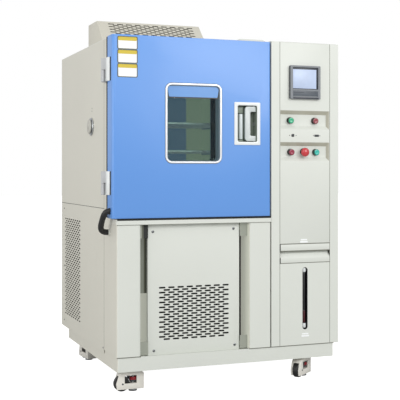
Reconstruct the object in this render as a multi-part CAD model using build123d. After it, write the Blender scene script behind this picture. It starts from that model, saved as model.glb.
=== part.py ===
"""Environmental test chamber on four levelling casters.

Millimetres, +Z up, front towards -Y. The pieces are built from the left front corner of the body, at floor
level, and are moved as a whole so that the origin is on the floor at the middle of the footprint.
"""
import os
from math import cos, radians, sin

from build123d import *

# Overall sizes
BODY_W = 1100.0
BODY_D = 1093.0
CASTER_H = 95.0
PLINTH_H = 64.0
PILLAR_H = 584.0
SILL_H = 24.0
DOOR_H = 811.0
SHEET = 2.0
SKIN_GAP = 0.5

# Plan of the body
COLUMN_SPAN = 355.0
COLUMN_GAP = 1.6
FRONT_DEPTH = 100.0
POST_W = 43.9
FASCIA_W = 263.4
PANEL_GAP = 0.3
STRIP_D = 212.0
SIDE_SEAM_RISE = 41.0
REAR_SEAM_RISE = 225.0

# Plinth
PLINTH_INSET_LEFT = 3.0
PLINTH_INSET_RIGHT = 25.0
PLINTH_INSET_FRONT = 2.0
PLINTH_INSET_REAR = 146.0
PLINTH_WALL = 3.0
DECK_DROP = 4.0
PLINTH_CORNER_R = 8.0
SIDE_SKIRT = 16.0

# Front pillars and the vent panel between them
PILLAR_W = 111.6
PILLAR_OUTER_R = 9.0
PILLAR_INNER_R = 13.0
SILL_PROUD = 2.0
VENT_MARGIN = 150.5
VENT_SETBACK = 25.0
VENT_RETURN = 15.0
TAB_H = 30.0
TAB_OVERLAP = 22.0
VENT_SCREW_INSET = 25.0

# Slot pattern shared by the grilles
SLOT_L = 31.0
SLOT_H = 6.0
SLOT_PITCH = 44.0
FRONT_ROW_GAP = 11.05
FRONT_ROWS = 22
FRONT_SLOTS_Z = 65.7
FRONT_GRILLE_MARGIN = 50.0
SIDE_COLUMNS = 8
SIDE_ROWS = 12
SIDE_ROW_GAP = 42.0
SIDE_SLOTS_BACK = 421.0
SIDE_SLOTS_Z = 60.0
COWL_COLUMNS = 10
COWL_ROWS = 10
COWL_ROW_GAP = 11.5
COWL_SLOTS_X = 53.0
COWL_SLOTS_UP = 16.0

# Roof cowl and the low vent cap
COWL_W = 516.0
COWL_Y = 242.0
COWL_SLOPE_D = 105.0
COWL_TOP_D = 157.0
COWL_H = 103.0
CAP_GAP = 138.0
CAP_Y = 160.0
CAP_W = 138.0
CAP_D = 100.0
CAP_H = 28.0
CAP_CHAMFER = 10.0

# Louvred covers at the right and rear
COVER_PROUD = 4.5
COVER_BACK = 93.0
COVER_D = 400.0
COVER_Z = 11.0
COVER_H = 282.0
COVER_RIM = 12.0
LOUVRE_H = 8.0
LOUVRE_GAP = 24.0
LOUVRE_MARGIN = 30.0
REAR_PROUD = 4.0
REAR_GROUPS = 3
REAR_LOUVRE_GAP = 22.0
INLET_RIGHT = 140.0
INLET_R = 11.0

# Chamber
SIDE_WALL = 112.5
CAVITY_H = 620.0
REAR_SPACE = 293.0
DUCT_D = 100.0
INSULATION = 98.0
LINER_FRONT_MARGIN = 2.5
LINER_SEAM = 0.3
RIB_W = 10.0
RIB_H = 6.0
SHELF_HEIGHTS = (203.0, 333.0)
SHELF_FRONT_GAP = 70.0
SHELF_BAR = 8.0
SHELF_SLATS = 11
SHELF_SIDE_GAP = 4.0
SHELF_BACK_GAP = 10.0
SHELF_TRAVEL = 45.0
SEAT_GAP = 0.3
BAFFLE_SLOTS = 8

# Circulation fan
FAN_DROP = 160.0
FAN_R = 85.0
FAN_EYE_R = 62.0
FAN_D = 38.0
FAN_BLADES = 8
FAN_SHAFT_R = 7.0
RUNNING_GAP = 0.05
SHAFT_HOLE_R = 14.0
MOTOR_R = 62.0
MOTOR_L = 124.0
MOTOR_FLANGE = 160.0
MOTOR_FLANGE_T = 6.0
EVAPORATOR_H = 300.0
EVAPORATOR_FINS = 9
EVAPORATOR_MARGIN = 18.0

# Machine space
COMPRESSOR_X = 300.0
COMPRESSOR_Y = 650.0
COMPRESSOR_R = 85.0
COMPRESSOR_H = 215.0
COMPRESSOR_FOOT_T = 5.0
PIPE_STUB = 30.0
COIL_INSET = 9.5
COIL_H = 400.0
COIL_Y = 140.0
COIL_D = 50.0
COIL_FINS = 15
COIL_TUBES = 5
COIL_TUBE = 8.0
SHROUD_MARGIN = 40.0
SHROUD_D = 42.0
COOLER_MOTOR_R = 45.0
COOLER_MOTOR_L = 60.0
COOLER_HUB_R = 30.0
COOLER_BLADES = 5
COOLER_SHAFT_R = 6.0
COOLER_BLADE_PITCH = 28.0

# Door
DOOR_GAP = 4.0
DOOR_TOP_GAP = 5.0
DOOR_OVERHANG = 20.0
DOOR_RIGHT_GAP = 4.6
DOOR_T = 80.0
DOOR_LEFT_R = 16.0
DOOR_RIGHT_R = 7.0
PLUG_GAP = 15.0
PLUG_D = 38.0
GASKET_W = 40.0
GASKET_CLEAR = 0.3
WINDOW_GAP = 61.0
WINDOW_H = 361.0
WINDOW_R = 30.0
WINDOW_FRAME = 12.0
WINDOW_RISE = 19.0
TRIM_PROUD = 4.0
PANE_T = 5.0
PANE_FRONT = 7.0
PANE_CLEAR = 0.3

# Hinges
HINGE_H = 105.0
HINGE_TOP_DROP = 149.5
HINGE_BOTTOM_RISE = 156.0
PIN_X = 31.0
PIN_BACK = 8.0
KNUCKLE_R = 11.0
HINGE_PIN_R = 5.0
KNUCKLE_GAP = 0.6
LEAF_T = 9.0
DOOR_LEAF_Y = (40.0, 84.0)
BODY_LEAF_Y = (25.0, 66.0)

# Latch
LATCH_W = 132.0
LATCH_H = 200.0
LATCH_RIGHT = 52.0
LATCH_RISE = 22.5
LATCH_PROUD = 3.0
LATCH_CORNER_R = 7.0
POCKET_W = 98.0
POCKET_H = 168.0
POCKET_D = 45.0
LEVER_LEFT = 41.0
LEVER_BAR_W = 26.0
LEVER_ARM_H = 24.0
LEVER_T = 16.0
LEVER_Y = 5.0
LEVER_PIVOT_X = 9.0
LEVER_PIVOT_R = 4.0
BOLT = 16.0
BOLT_GAP = 0.6
BOLT_Y = 27.0
BOLT_NOSE = 2.5
BOLT_GUIDE_L = 38.0
BOLT_GUIDE_WALL = 4.0
BOLT_TRAVEL = 8.0

# Conduit between the body and the door
CONDUIT_R = 12.0
CONDUIT_OUT = 46.0
CONDUIT_DOOR_Y = 40.0
CONDUIT_DOOR_RISE = 32.0
CONDUIT_BODY_Y = 125.0
CONDUIT_BODY_DROP = 62.0
CONDUIT_BENDS = (20.0, 38.0)
GLAND_R = 15.0
DOOR_GLAND = 4.0
BODY_GLAND = 6.0

# Cable port
PORT_Y = 443.6
PORT_BELOW_TOP = 393.0
PORT_R = 25.0
PORT_WALL = 3.0
PORT_FLANGE_R = 43.0
PORT_FLANGE_T = 6.0
PLUG_HEAD_R = 34.0
PLUG_HEAD_L = 14.0
PORT_PLUG_L = 74.0
FIT_GAP = 0.3

# Control fascia
RECESS_D = 20.0
RECESS_MARGIN = 2.5
RECESS_TAPER_X = 8.0
RECESS_TAPER_Z = 18.0
RECESS_H = 89.5
RECESS_DROPS = {"upper": 321.5, "lower": 470.6}
BUTTONS = {"green": (-74.0, "upper"), "red": (55.5, "upper"), "crimson": (-71.0, "lower"), "teal": (61.5, "lower")}
BUTTON_R = 10.5
BUTTON_PROUD = 4.0
BUTTON_TRAVEL = 4.0
BUTTON_STEM_R = 5.0
BEZEL_R = 15.0
BEZEL_BORE_R = 11.3
BEZEL_H = 8.0
BEZEL_SEAT = 1.5
BARREL_R = 10.8
BARREL_L = 35.0
BARREL_HOLE_R = 11.1
STOP_R = 21.0
STOP_HEAD_H = 16.0
STOP_COLLAR_R = 17.0
STOP_COLLAR_H = 14.0
STOP_STEM_R = 9.0
STOP_TRAVEL = 6.0
STOP_GAP = 7.0
SOCKET_DROP = 439.0
SOCKET_A = (14.0, 13.0)
SOCKET_B = (24.0, 10.0)
SOCKET_D = 25.0
SOCKET_PROUD = 1.5
SOCKET_X = 64.5

# Controller
CONTROLLER_W = 162.5
CONTROLLER_H = 154.0
CONTROLLER_DROP = 113.5
CONTROLLER_X = 47.8
CONTROLLER_PROUD = 15.0
CONTROLLER_BACK_D = 60.0
CONTROLLER_BACK_INSET = 8.0
SCREEN_W = 133.0
SCREEN_H = 102.0
SCREEN_TOP = 9.0
SCREEN_D = 6.0
KEY_STRIP_H = 24.0
KEY_STRIP_BOTTOM = 9.0
CUTOUT_GAP = 1.0

# Drawer, tank and gauge
DRAWER_TOP = 636.0
DRAWER_H = 89.0
LIP_H = 30.5
PULL_H = 34.5
PULL_D = 25.0
BASIN_INSET = 11.0
BASIN_Z = 13.0
BASIN_H = 62.0
BASIN_L = 300.0
BASIN_WALL = 3.0
BASIN_DRAIN_R = 10.0
RUNNER_T = 5.0
RUNNER_LEDGE = 8.0
CARRIER_T = 2.0
DRAWER_TRAVEL = 200.0
TANK_Y = 30.0
TANK_D = 300.0
TANK_H = 375.0
TANK_INSET = 15.0
TANK_WALL = 3.0
GAUGE_SLOT_W = 27.5
GAUGE_SLOT_H = 294.0
GAUGE_SLOT_Z = 72.0
TUBE_R = 7.5
TUBE_Y = 16.0
FITTING_R = 11.0
FITTING_H = 22.0
STUB_R = 7.0
RAIL_H = 16.0
RAIL_D = 20.0

# Casters: swivel axes from the body's four sides and the angle of each tail
CASTER_LEFT = 75.0
CASTER_RIGHT = 168.0
CASTER_FRONT = 60.0
CASTER_REAR = 278.0
TAIL_ANGLES = {"front_left": 180.0, "front_right": 218.0, "rear_left": 98.0, "rear_right": 200.0}
WHEEL_R = 35.0
WHEEL_W = 26.0
WHEEL_BACK = 37.0
WHEEL_BORE_R = 5.0
WHEEL_GAP = 1.5
CHEEK = 9.0
HOUSING_BACK = 62.0
HOUSING_FRONT = 61.0
HOUSING_GAP = 0.4
HOUSING_BULGE = 4.0
HOUSING_BROW = (10.0, 14.0)
HOUSING_CROWN = 28.0
HOUSING_NOSE = 10.0
CASTER_PLATE_T = 5.0
CASTER_PLATE = 76.0
KINGPIN_R = 8.0
KINGPIN_LOW = 19.0
FOOT_X = 16.0
FOOT_R = 19.0
FOOT_T = 7.0
FOOT_STEM_R = 6.0
FOOT_STEM_TOP = 66.0
FOOT_TRAVEL = 8.0
DIAL_R = 20.0
DIAL_Z = 50.0
DIAL_T = 12.0
DIAL_NOTCHES = 10
DIAL_NOTCH_R = 3.0
DIAL_WINDOW = (36.0, 72.0)
DIAL_WINDOW_W = 56.0
DIAL_CLEAR = 2.0
HOUSING_LOW = 11.0
PAD_CORNER = 60.0
PAD_T = 6.0

# Drain outlet at the back of the plinth
DRAIN_X = 200.0
DRAIN_R = 9.0
DRAIN_BORE_R = 6.0
DRAIN_L = 35.0

# Levels and lines worked out from the sizes
Z_PLINTH = CASTER_H + PLINTH_H
Z_DECK = Z_PLINTH - DECK_DROP
Z_SILL = Z_PLINTH + PILLAR_H
Z_SILL_TOP = Z_SILL + SILL_H
Z_DOOR = Z_SILL_TOP + DOOR_GAP
Z_DOOR_TOP = Z_DOOR + DOOR_H
Z_TOP = Z_DOOR_TOP + DOOR_TOP_GAP
Z_ROOF = Z_TOP - SHEET
Z_SIDE_SEAM = Z_SILL_TOP + SIDE_SEAM_RISE
Z_REAR_SEAM = Z_PLINTH + REAR_SEAM_RISE
Z_SKIRT = Z_PLINTH - SIDE_SKIRT

PLINTH_X = (PLINTH_INSET_LEFT, BODY_W - PLINTH_INSET_RIGHT)
PLINTH_Y = (PLINTH_INSET_FRONT, BODY_D - PLINTH_INSET_REAR)
BAY_W = BODY_W - COLUMN_SPAN
COLUMN_X = BAY_W + COLUMN_GAP
FASCIA_X = COLUMN_X + POST_W + PANEL_GAP
FASCIA_END = FASCIA_X + FASCIA_W
COLUMN_MID = FASCIA_X + FASCIA_W / 2
RIGHT_INNER = BODY_W - SHEET
VENT_W = BAY_W - 2 * VENT_MARGIN
FRONT_COLUMNS = int((VENT_W - 2 * FRONT_GRILLE_MARGIN - SLOT_L) // SLOT_PITCH) + 1
CAP_X = COWL_W + CAP_GAP
COVER_Y = BODY_D - COVER_BACK - COVER_D
INLET_X = BODY_W - INLET_RIGHT
CASTER_SITES = {
    "front_left": (CASTER_LEFT, CASTER_FRONT, TAIL_ANGLES["front_left"]),
    "front_right": (BODY_W - CASTER_RIGHT, CASTER_FRONT, TAIL_ANGLES["front_right"]),
    "rear_left": (CASTER_LEFT, BODY_D - CASTER_REAR, TAIL_ANGLES["rear_left"]),
    "rear_right": (BODY_W - CASTER_RIGHT, BODY_D - CASTER_REAR, TAIL_ANGLES["rear_right"]),
}

CAVITY_W = BAY_W - 2 * SIDE_WALL
CAVITY_D = BODY_D - FRONT_DEPTH - SHEET - INSULATION - REAR_SPACE
SHELF_D = CAVITY_D - DUCT_D - SHELF_BACK_GAP - SHELF_FRONT_GAP
CAVITY_X = (BAY_W - CAVITY_W) / 2
CAVITY_END = CAVITY_X + CAVITY_W
DOOR_MID_Z = Z_DOOR + DOOR_H / 2
CAVITY_Z = DOOR_MID_Z - CAVITY_H / 2
CAVITY_TOP = CAVITY_Z + CAVITY_H
CAVITY_BACK = FRONT_DEPTH + CAVITY_D
BAFFLE_Y = CAVITY_BACK - DUCT_D
INSULATION_BACK = CAVITY_BACK + SHEET + INSULATION

DOOR_X = -DOOR_OVERHANG
DOOR_END = COLUMN_X - DOOR_RIGHT_GAP
DOOR_MID_X = (DOOR_X + DOOR_END) / 2
WINDOW_W = DOOR_END - DOOR_X - 2 * (LATCH_RIGHT + LATCH_W + WINDOW_GAP)
WINDOW_Z = DOOR_MID_Z + WINDOW_RISE
PIN_Y = FRONT_DEPTH + PIN_BACK
HINGE_CENTRES = (Z_DOOR_TOP - HINGE_TOP_DROP, Z_DOOR + HINGE_BOTTOM_RISE)
LATCH_END = DOOR_END - LATCH_RIGHT
LATCH_MID_X = LATCH_END - LATCH_W / 2
LATCH_Z = DOOR_MID_Z + LATCH_RISE
POCKET_X = LATCH_MID_X - POCKET_W / 2
POCKET_END = POCKET_X + POCKET_W
LEVER_AXIS = (POCKET_END - LEVER_PIVOT_X, LEVER_Y + LEVER_T / 2)
PORT_Z = Z_TOP - PORT_BELOW_TOP
FAN_X = BAY_W / 2
FAN_Z = CAVITY_TOP - FAN_DROP
COIL_X = VENT_MARGIN + COIL_INSET
COIL_W = VENT_W - 2 * COIL_INSET
SHROUD_R = min(COIL_W, COIL_H) / 2 - SHROUD_MARGIN
COOLER_X = COIL_X + COIL_W / 2
COOLER_Z = Z_DECK + COIL_H / 2
CONDUIT_DOOR_Z = Z_DOOR + CONDUIT_DOOR_RISE
CONDUIT_BODY_Z = Z_SILL_TOP - CONDUIT_BODY_DROP
DRAWER_Z = DRAWER_TOP - DRAWER_H
FASCIA_Z = DRAWER_TOP + SKIN_GAP * 2
GAUGE_TOP = DRAWER_Z - SKIN_GAP * 2
GAUGE_SLOT_MID = Z_PLINTH + GAUGE_SLOT_Z + GAUGE_SLOT_H / 2
CONTROLLER_TOP = Z_TOP - CONTROLLER_DROP

LEFT_MOST = -CONDUIT_OUT - CONDUIT_R
RIGHT_MOST = BODY_W + COVER_PROUD
FRONT_MOST = RECESS_D - STOP_COLLAR_H - STOP_GAP - STOP_HEAD_H
REAR_MOST = BODY_D + REAR_PROUD
TO_ORIGIN = Pos(-(LEFT_MOST + RIGHT_MOST) / 2, -(FRONT_MOST + REAR_MOST) / 2, 0)


def block(x0, x1, y0, y1, z0, z1):
    """Box between two corners."""
    return Pos((x0 + x1) / 2, (y0 + y1) / 2, (z0 + z1) / 2) * Box(x1 - x0, y1 - y0, z1 - z0)


def rod_x(x0, x1, y, z, r):
    """Round bar along X."""
    return Pos((x0 + x1) / 2, y, z) * Rot(0, 90, 0) * Cylinder(r, x1 - x0)


def rod_y(y0, y1, x, z, r):
    """Round bar along Y."""
    return Pos(x, (y0 + y1) / 2, z) * Rot(90, 0, 0) * Cylinder(r, y1 - y0)


def rod_z(z0, z1, x, y, r):
    """Round bar along Z."""
    return Pos(x, y, (z0 + z1) / 2) * Cylinder(r, z1 - z0)


def prism(points, path):
    """Outline of 3-D points pushed along a vector."""
    outline = Wire.make_polygon([Vector(*p) for p in points], close=True)
    return Solid.extrude(Face(outline), Vector(*path))


def frame_y(x_mid, z_mid, width, height, radius, y0, y1):
    """Plate with round corners that faces the front, from y0 to y1."""
    face = Plane(origin=(x_mid, y1, z_mid), x_dir=(1, 0, 0), z_dir=(0, -1, 0)) * RectangleRounded(
        width, height, radius)
    return extrude(face, amount=y1 - y0)


def staggered(columns, rows, pitch, row_gap):
    """Slot centres in rows that shift by half a pitch, from the first row's first slot."""
    for row in range(rows):
        odd = row % 2
        for column in range(columns - odd):
            yield (column + odd / 2) * pitch, row * row_gap


def slotted_sheet(corner, across, up, width, height, centres, slot, through):
    """Flat sheet from a corner with oblong openings, given its two directions and its thickness vector."""
    corner, across, up = Vector(*corner), Vector(*across), Vector(*up)

    def rectangle(u0, u1, v0, v1):
        corners = ((u0, v0), (u1, v0), (u1, v1), (u0, v1))
        return Wire.make_polygon([corner + across * u + up * v for u, v in corners], close=True)

    half_l, half_h = slot[0] / 2, slot[1] / 2
    holes = [rectangle(u - half_l, u + half_l, v - half_h, v + half_h) for u, v in centres]
    return Solid.extrude(Face(rectangle(0, width, 0, height), holes), Vector(*through))


def caster_place(site):
    """Place of one caster's swivel axis on the floor, turned to its tail's angle."""
    x, y, angle = CASTER_SITES[site]
    return Pos(x, y, 0) * Rot(0, 0, angle - 180.0)


def base_frame():
    """Plinth tray with a deck, corner plates, caster plates with kingpins, and the drain outlet."""
    (x0, x1), (y0, y1), wall = PLINTH_X, PLINTH_Y, PLINTH_WALL
    tray = block(x0, x1, y0, y1, CASTER_H, Z_PLINTH)
    tray = fillet(tray.edges().filter_by(Axis.Z), PLINTH_CORNER_R)
    tray -= block(x0 + wall, x1 - wall, y0 + wall, y1 - wall, CASTER_H, Z_DECK - wall)
    tray -= block(x0 + wall, x1 - wall, y0 + wall, y1 - wall, Z_DECK, Z_PLINTH)
    drain_z = (CASTER_H + Z_DECK) / 2
    for x, y, _ in CASTER_SITES.values():
        left, right = (x0 + wall, x + PAD_CORNER) if x < BODY_W / 2 else (x - PAD_CORNER, x1 - wall)
        front, back = (y0 + wall, y + PAD_CORNER) if y < BODY_D / 2 else (y - PAD_CORNER, y1 - wall)
        tray += block(left, right, front, back, CASTER_H, CASTER_H + PAD_T)
    for site in CASTER_SITES:
        half = CASTER_PLATE / 2
        tray += caster_place(site) * block(-half, half, -half, half, CASTER_H - CASTER_PLATE_T, CASTER_H)
        tray += caster_place(site) * rod_z(CASTER_H - KINGPIN_LOW, CASTER_H, 0, 0, KINGPIN_R)
    tray += rod_y(y1 - wall, y1 + DRAIN_L, DRAIN_X, drain_z, DRAIN_R)
    tray -= rod_y(y1 - wall, y1 + DRAIN_L, DRAIN_X, drain_z, DRAIN_BORE_R)
    return tray


def pillar(x0, mirrored):
    """Folded tube between the plinth and the sill, with a soft corner towards the recess."""
    def profile(grow, front_left, front_right):
        left, right = x0 + grow, x0 + PILLAR_W - grow
        shape = block(left, right, grow, FRONT_DEPTH - grow, Z_PLINTH, Z_SILL)
        edges = shape.edges().filter_by(Axis.Z).group_by(Axis.Y)[0].sort_by(Axis.X)
        shape = fillet(edges[0], front_left)
        edges = shape.edges().filter_by(Axis.Z).sort_by(Axis.X)
        corner = [e for e in edges if e.center().Y < grow + 1 and e.center().X > right - 1]
        return fillet(corner, front_right)

    radii = (PILLAR_INNER_R, PILLAR_OUTER_R) if mirrored else (PILLAR_OUTER_R, PILLAR_INNER_R)
    return profile(0, *radii) - profile(SHEET, radii[0] - SHEET, radii[1] - SHEET)


def front_frame():
    """Two pillars, the side strip behind the left one, the sill rail and the vent panel's tabs."""
    right_x = BAY_W - PILLAR_W
    frame = pillar(0, False) + pillar(right_x, True)
    frame += block(0, SHEET, FRONT_DEPTH, STRIP_D, Z_PLINTH, Z_SIDE_SEAM - SKIN_GAP)
    sill = block(-SILL_PROUD, BAY_W, -SILL_PROUD, FRONT_DEPTH, Z_SILL, Z_SILL_TOP)
    sill -= block(SHEET, BAY_W - SHEET, SHEET - SILL_PROUD, FRONT_DEPTH, Z_SILL + SHEET, Z_SILL_TOP - SHEET)
    frame += sill
    tab_y = VENT_SETBACK + SHEET + VENT_RETURN
    vent_x = (BAY_W - VENT_W) / 2
    for z in (Z_DECK + VENT_SCREW_INSET, Z_SILL - VENT_SCREW_INSET):
        low, high = z - TAB_H / 2 + DECK_DROP, z + TAB_H / 2 - DECK_DROP
        frame += block(PILLAR_W - SHEET, vent_x + TAB_OVERLAP, tab_y, tab_y + SHEET, low, high)
        frame += block(vent_x + VENT_W - TAB_OVERLAP, right_x + SHEET, tab_y, tab_y + SHEET, low, high)
    frame += rod_x(-BODY_GLAND, SHEET, CONDUIT_BODY_Y, CONDUIT_BODY_Z, GLAND_R)
    return frame


def upper_side_panel():
    """Plain left side panel above the seam, with the hole for the cable port."""
    panel = block(0, SHEET, FRONT_DEPTH, BODY_D - SHEET, Z_SIDE_SEAM + SKIN_GAP, Z_ROOF)
    return panel - rod_x(-1, SHEET + 1, PORT_Y, PORT_Z, PORT_R + PORT_WALL + FIT_GAP)


def lower_side_panel():
    """Left side panel below the seam, with its grille towards the rear."""
    first = (BODY_D - SIDE_SLOTS_BACK - STRIP_D - SKIN_GAP + SLOT_L / 2, SIDE_SLOTS_Z)
    centres = [(u + first[0], v + first[1]) for u, v in
               staggered(SIDE_COLUMNS, SIDE_ROWS, SLOT_PITCH, SIDE_ROW_GAP)]
    y0 = STRIP_D + SKIN_GAP
    return slotted_sheet((0, y0, Z_SKIRT), (0, 1, 0), (0, 0, 1), BODY_D - SHEET - y0,
                         Z_SIDE_SEAM - SKIN_GAP - Z_SKIRT, centres, (SLOT_L, SLOT_H), (SHEET, 0, 0))


def right_side_panel():
    """Right side folded round to the front strip, with a raised louvred cover pressed out."""
    panel = block(RIGHT_INNER, BODY_W, 0, BODY_D - SHEET, Z_PLINTH, Z_ROOF)
    panel += block(FASCIA_END + PANEL_GAP, BODY_W, 0, SHEET, Z_PLINTH, Z_ROOF)
    z0, y1 = Z_PLINTH + COVER_Z, COVER_Y + COVER_D
    panel += block(BODY_W, RIGHT_MOST, COVER_Y, y1, z0, z0 + COVER_H)
    panel -= block(RIGHT_INNER, RIGHT_MOST - SHEET, COVER_Y + COVER_RIM, y1 - COVER_RIM, z0 + COVER_RIM,
                   z0 + COVER_H - COVER_RIM)
    for row in range(int((COVER_H - 2 * LOUVRE_MARGIN) / LOUVRE_GAP) + 1):
        z = z0 + LOUVRE_MARGIN + row * LOUVRE_GAP
        panel -= block(RIGHT_MOST - SHEET, RIGHT_MOST, COVER_Y + LOUVRE_MARGIN, y1 - LOUVRE_MARGIN,
                       z - LOUVRE_H / 2, z + LOUVRE_H / 2)
    return panel


def rear_panel():
    """Plain rear panel above the vent cover."""
    return block(0, BODY_W, BODY_D - SHEET, BODY_D, Z_REAR_SEAM + SKIN_GAP, Z_ROOF)


def rear_vent_panel():
    """Raised rear cover with rows of louvre openings and the supply inlet hole."""
    z0, z1, back = Z_SKIRT, Z_REAR_SEAM - SKIN_GAP, BODY_D + REAR_PROUD
    cover = block(0, BODY_W, BODY_D - SHEET, back, z0, z1)
    cover -= block(SHEET, RIGHT_INNER, BODY_D - SHEET, back - SHEET, z0 + SHEET, z1 - SHEET)
    group_w = (INLET_X - 2 * LOUVRE_MARGIN) / REAR_GROUPS
    for row in range(int((z1 - z0 - 2 * LOUVRE_MARGIN) / REAR_LOUVRE_GAP) + 1):
        z = z0 + LOUVRE_MARGIN + row * REAR_LOUVRE_GAP
        for group in range(REAR_GROUPS):
            x = LOUVRE_MARGIN + group * group_w
            cover -= block(x, x + group_w - LOUVRE_MARGIN, back - SHEET, back, z - LOUVRE_H / 2,
                           z + LOUVRE_H / 2)
    return cover - rod_y(back - SHEET, back, INLET_X, (z0 + z1) / 2, INLET_R)


def roof_panel():
    """Roof sheet round the door bay, with a low vent cap."""
    outline = ((0, FRONT_DEPTH), (COLUMN_X, FRONT_DEPTH), (COLUMN_X, 0), (BODY_W, 0), (BODY_W, BODY_D),
               (0, BODY_D))
    roof = prism([(x, y, Z_ROOF) for x, y in outline], (0, 0, SHEET))
    cap = block(CAP_X, CAP_X + CAP_W, CAP_Y, CAP_Y + CAP_D, Z_TOP, Z_TOP + CAP_H)
    cap = chamfer(cap.faces().sort_by(Axis.Z)[-1].edges(), CAP_CHAMFER)
    inside = block(CAP_X + SHEET, CAP_X + CAP_W - SHEET, CAP_Y + SHEET, CAP_Y + CAP_D - SHEET, Z_TOP,
                   Z_TOP + CAP_H - SHEET)
    inside = chamfer(inside.faces().sort_by(Axis.Z)[-1].edges(), CAP_CHAMFER)
    return Part() + roof + (cap - inside)


def fan_cowl():
    """Sloped cowl on the roof whose front face is a slotted sheet."""
    def outline(inset):
        y0, top = COWL_Y + 2.4 * inset, Z_TOP + COWL_H - inset
        slope_end = COWL_Y + COWL_SLOPE_D + 0.4 * inset
        back = COWL_Y + COWL_SLOPE_D + COWL_TOP_D - inset
        return ((y0, Z_TOP), (slope_end, top), (back, top), (back, Z_TOP))

    shell = prism([(0, y, z) for y, z in outline(0)], (COWL_W, 0, 0))
    shell -= prism([(SHEET, y, z) for y, z in outline(SHEET)], (COWL_W - 2 * SHEET, 0, 0))
    slope = Vector(0, COWL_SLOPE_D, COWL_H)
    up, normal = slope.normalized(), Vector(0, -COWL_H, COWL_SLOPE_D).normalized()
    slots = []
    for u, v in staggered(COWL_COLUMNS, COWL_ROWS, SLOT_PITCH, COWL_ROW_GAP):
        spot = Vector(COWL_SLOTS_X + SLOT_L / 2 + u, COWL_Y, Z_TOP) + up * (COWL_SLOTS_UP + v)
        place = Plane(origin=spot, x_dir=(1, 0, 0), z_dir=normal)
        slots.append(place * Box(SLOT_L, SLOT_H, 6 * SHEET))
    return shell - slots


def front_vent_panel():
    """Screwed panel with the front grille and its folded returns."""
    x0 = (BAY_W - VENT_W) / 2
    y0, height = VENT_SETBACK, Z_SILL - SKIN_GAP - Z_DECK
    span = (FRONT_COLUMNS - 1) * SLOT_PITCH
    top_row = FRONT_SLOTS_Z + DECK_DROP + (FRONT_ROWS - 1) * FRONT_ROW_GAP
    centres = [((VENT_W - span) / 2 + u, top_row - v) for u, v in
               staggered(FRONT_COLUMNS, FRONT_ROWS, SLOT_PITCH, FRONT_ROW_GAP)]
    panel = slotted_sheet((x0, y0, Z_DECK), (1, 0, 0), (0, 0, 1), VENT_W, height, centres,
                          (SLOT_L, SLOT_H), (0, SHEET, 0))
    back = y0 + SHEET + VENT_RETURN
    for x in (x0, x0 + VENT_W - SHEET):
        panel += block(x, x + SHEET, y0 + SHEET, back, Z_DECK, Z_DECK + height)
    for z in (Z_DECK, Z_DECK + height - SHEET):
        panel += block(x0, x0 + VENT_W, y0 + SHEET, back, z, z + SHEET)
    return panel


def chamber_liner():
    """Stainless sheets of the test space, its front flange and the shelf ledges, set off by weld seams."""
    x0, x1, y0, y1 = CAVITY_X, CAVITY_END, FRONT_DEPTH, CAVITY_BACK
    z0, z1, margin = CAVITY_Z, CAVITY_TOP, LINER_FRONT_MARGIN
    low, high = Z_SILL_TOP + SHEET, Z_ROOF - SHEET
    left, right = x0 + LINER_SEAM, x1 - LINER_SEAM
    front, back = y0 + SHEET + LINER_SEAM, y1 - LINER_SEAM
    port_wall = block(x0 - SHEET, x0, front, back, z0 + LINER_SEAM, z1 - LINER_SEAM)
    fan_wall = block(x0 - SHEET, x1 + SHEET, y1, y1 + SHEET, z0 - SHEET, z1 + SHEET)
    sheets = [
        port_wall - rod_x(x0 - SHEET, x0, PORT_Y, PORT_Z, PORT_R + PORT_WALL + FIT_GAP),
        fan_wall - rod_y(y1, y1 + SHEET, FAN_X, FAN_Z, SHAFT_HOLE_R),
        block(x1, x1 + SHEET, front, back, z0 + LINER_SEAM, z1 - LINER_SEAM),
        block(x0 - SHEET, x1 + SHEET, front, back, z0 - SHEET, z0),
        block(x0 - SHEET, x1 + SHEET, front, back, z1, z1 + SHEET),
        block(margin, x0, y0, y0 + SHEET, low, high),
        block(x1, BAY_W - margin, y0, y0 + SHEET, low, high),
        block(left, right, y0, y0 + SHEET, low, z0),
        block(left, right, y0, y0 + SHEET, z1, high),
    ]
    shelf_back = BAFFLE_Y - SHELF_BACK_GAP
    for height in SHELF_HEIGHTS:
        top = z0 + height - SEAT_GAP
        sheets.append(block(left, x0 + RIB_W, shelf_back - SHELF_D, shelf_back, top - RIB_H, top))
        sheets.append(block(x1 - RIB_W, right, shelf_back - SHELF_D, shelf_back, top - RIB_H, top))
    return Compound(sheets)


def insulation():
    """Foam boards round the liner with a seam between them, and the port and shaft passages."""
    x0, x1 = SHEET + SKIN_GAP, BAY_W - SHEET
    y0, y1, back = FRONT_DEPTH + SHEET, INSULATION_BACK, CAVITY_BACK + SHEET
    z0, z1 = Z_SILL_TOP + SHEET, Z_ROOF - SHEET
    left, right = CAVITY_X - SHEET, CAVITY_END + SHEET
    inner = (left + LINER_SEAM, right - LINER_SEAM)
    port_board = block(x0, left, y0, y1, z0, z1)
    fan_board = block(*inner, back, y1, z0, z1)
    return Compound([
        port_board - rod_x(x0, left, PORT_Y, PORT_Z, PORT_R + PORT_WALL + FIT_GAP),
        fan_board - rod_y(back, y1, FAN_X, FAN_Z, SHAFT_HOLE_R),
        block(right, x1, y0, y1, z0, z1),
        block(*inner, y0, back - LINER_SEAM, z0, CAVITY_Z - SHEET),
        block(*inner, y0, back - LINER_SEAM, CAVITY_TOP + SHEET, z1),
    ])


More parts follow.
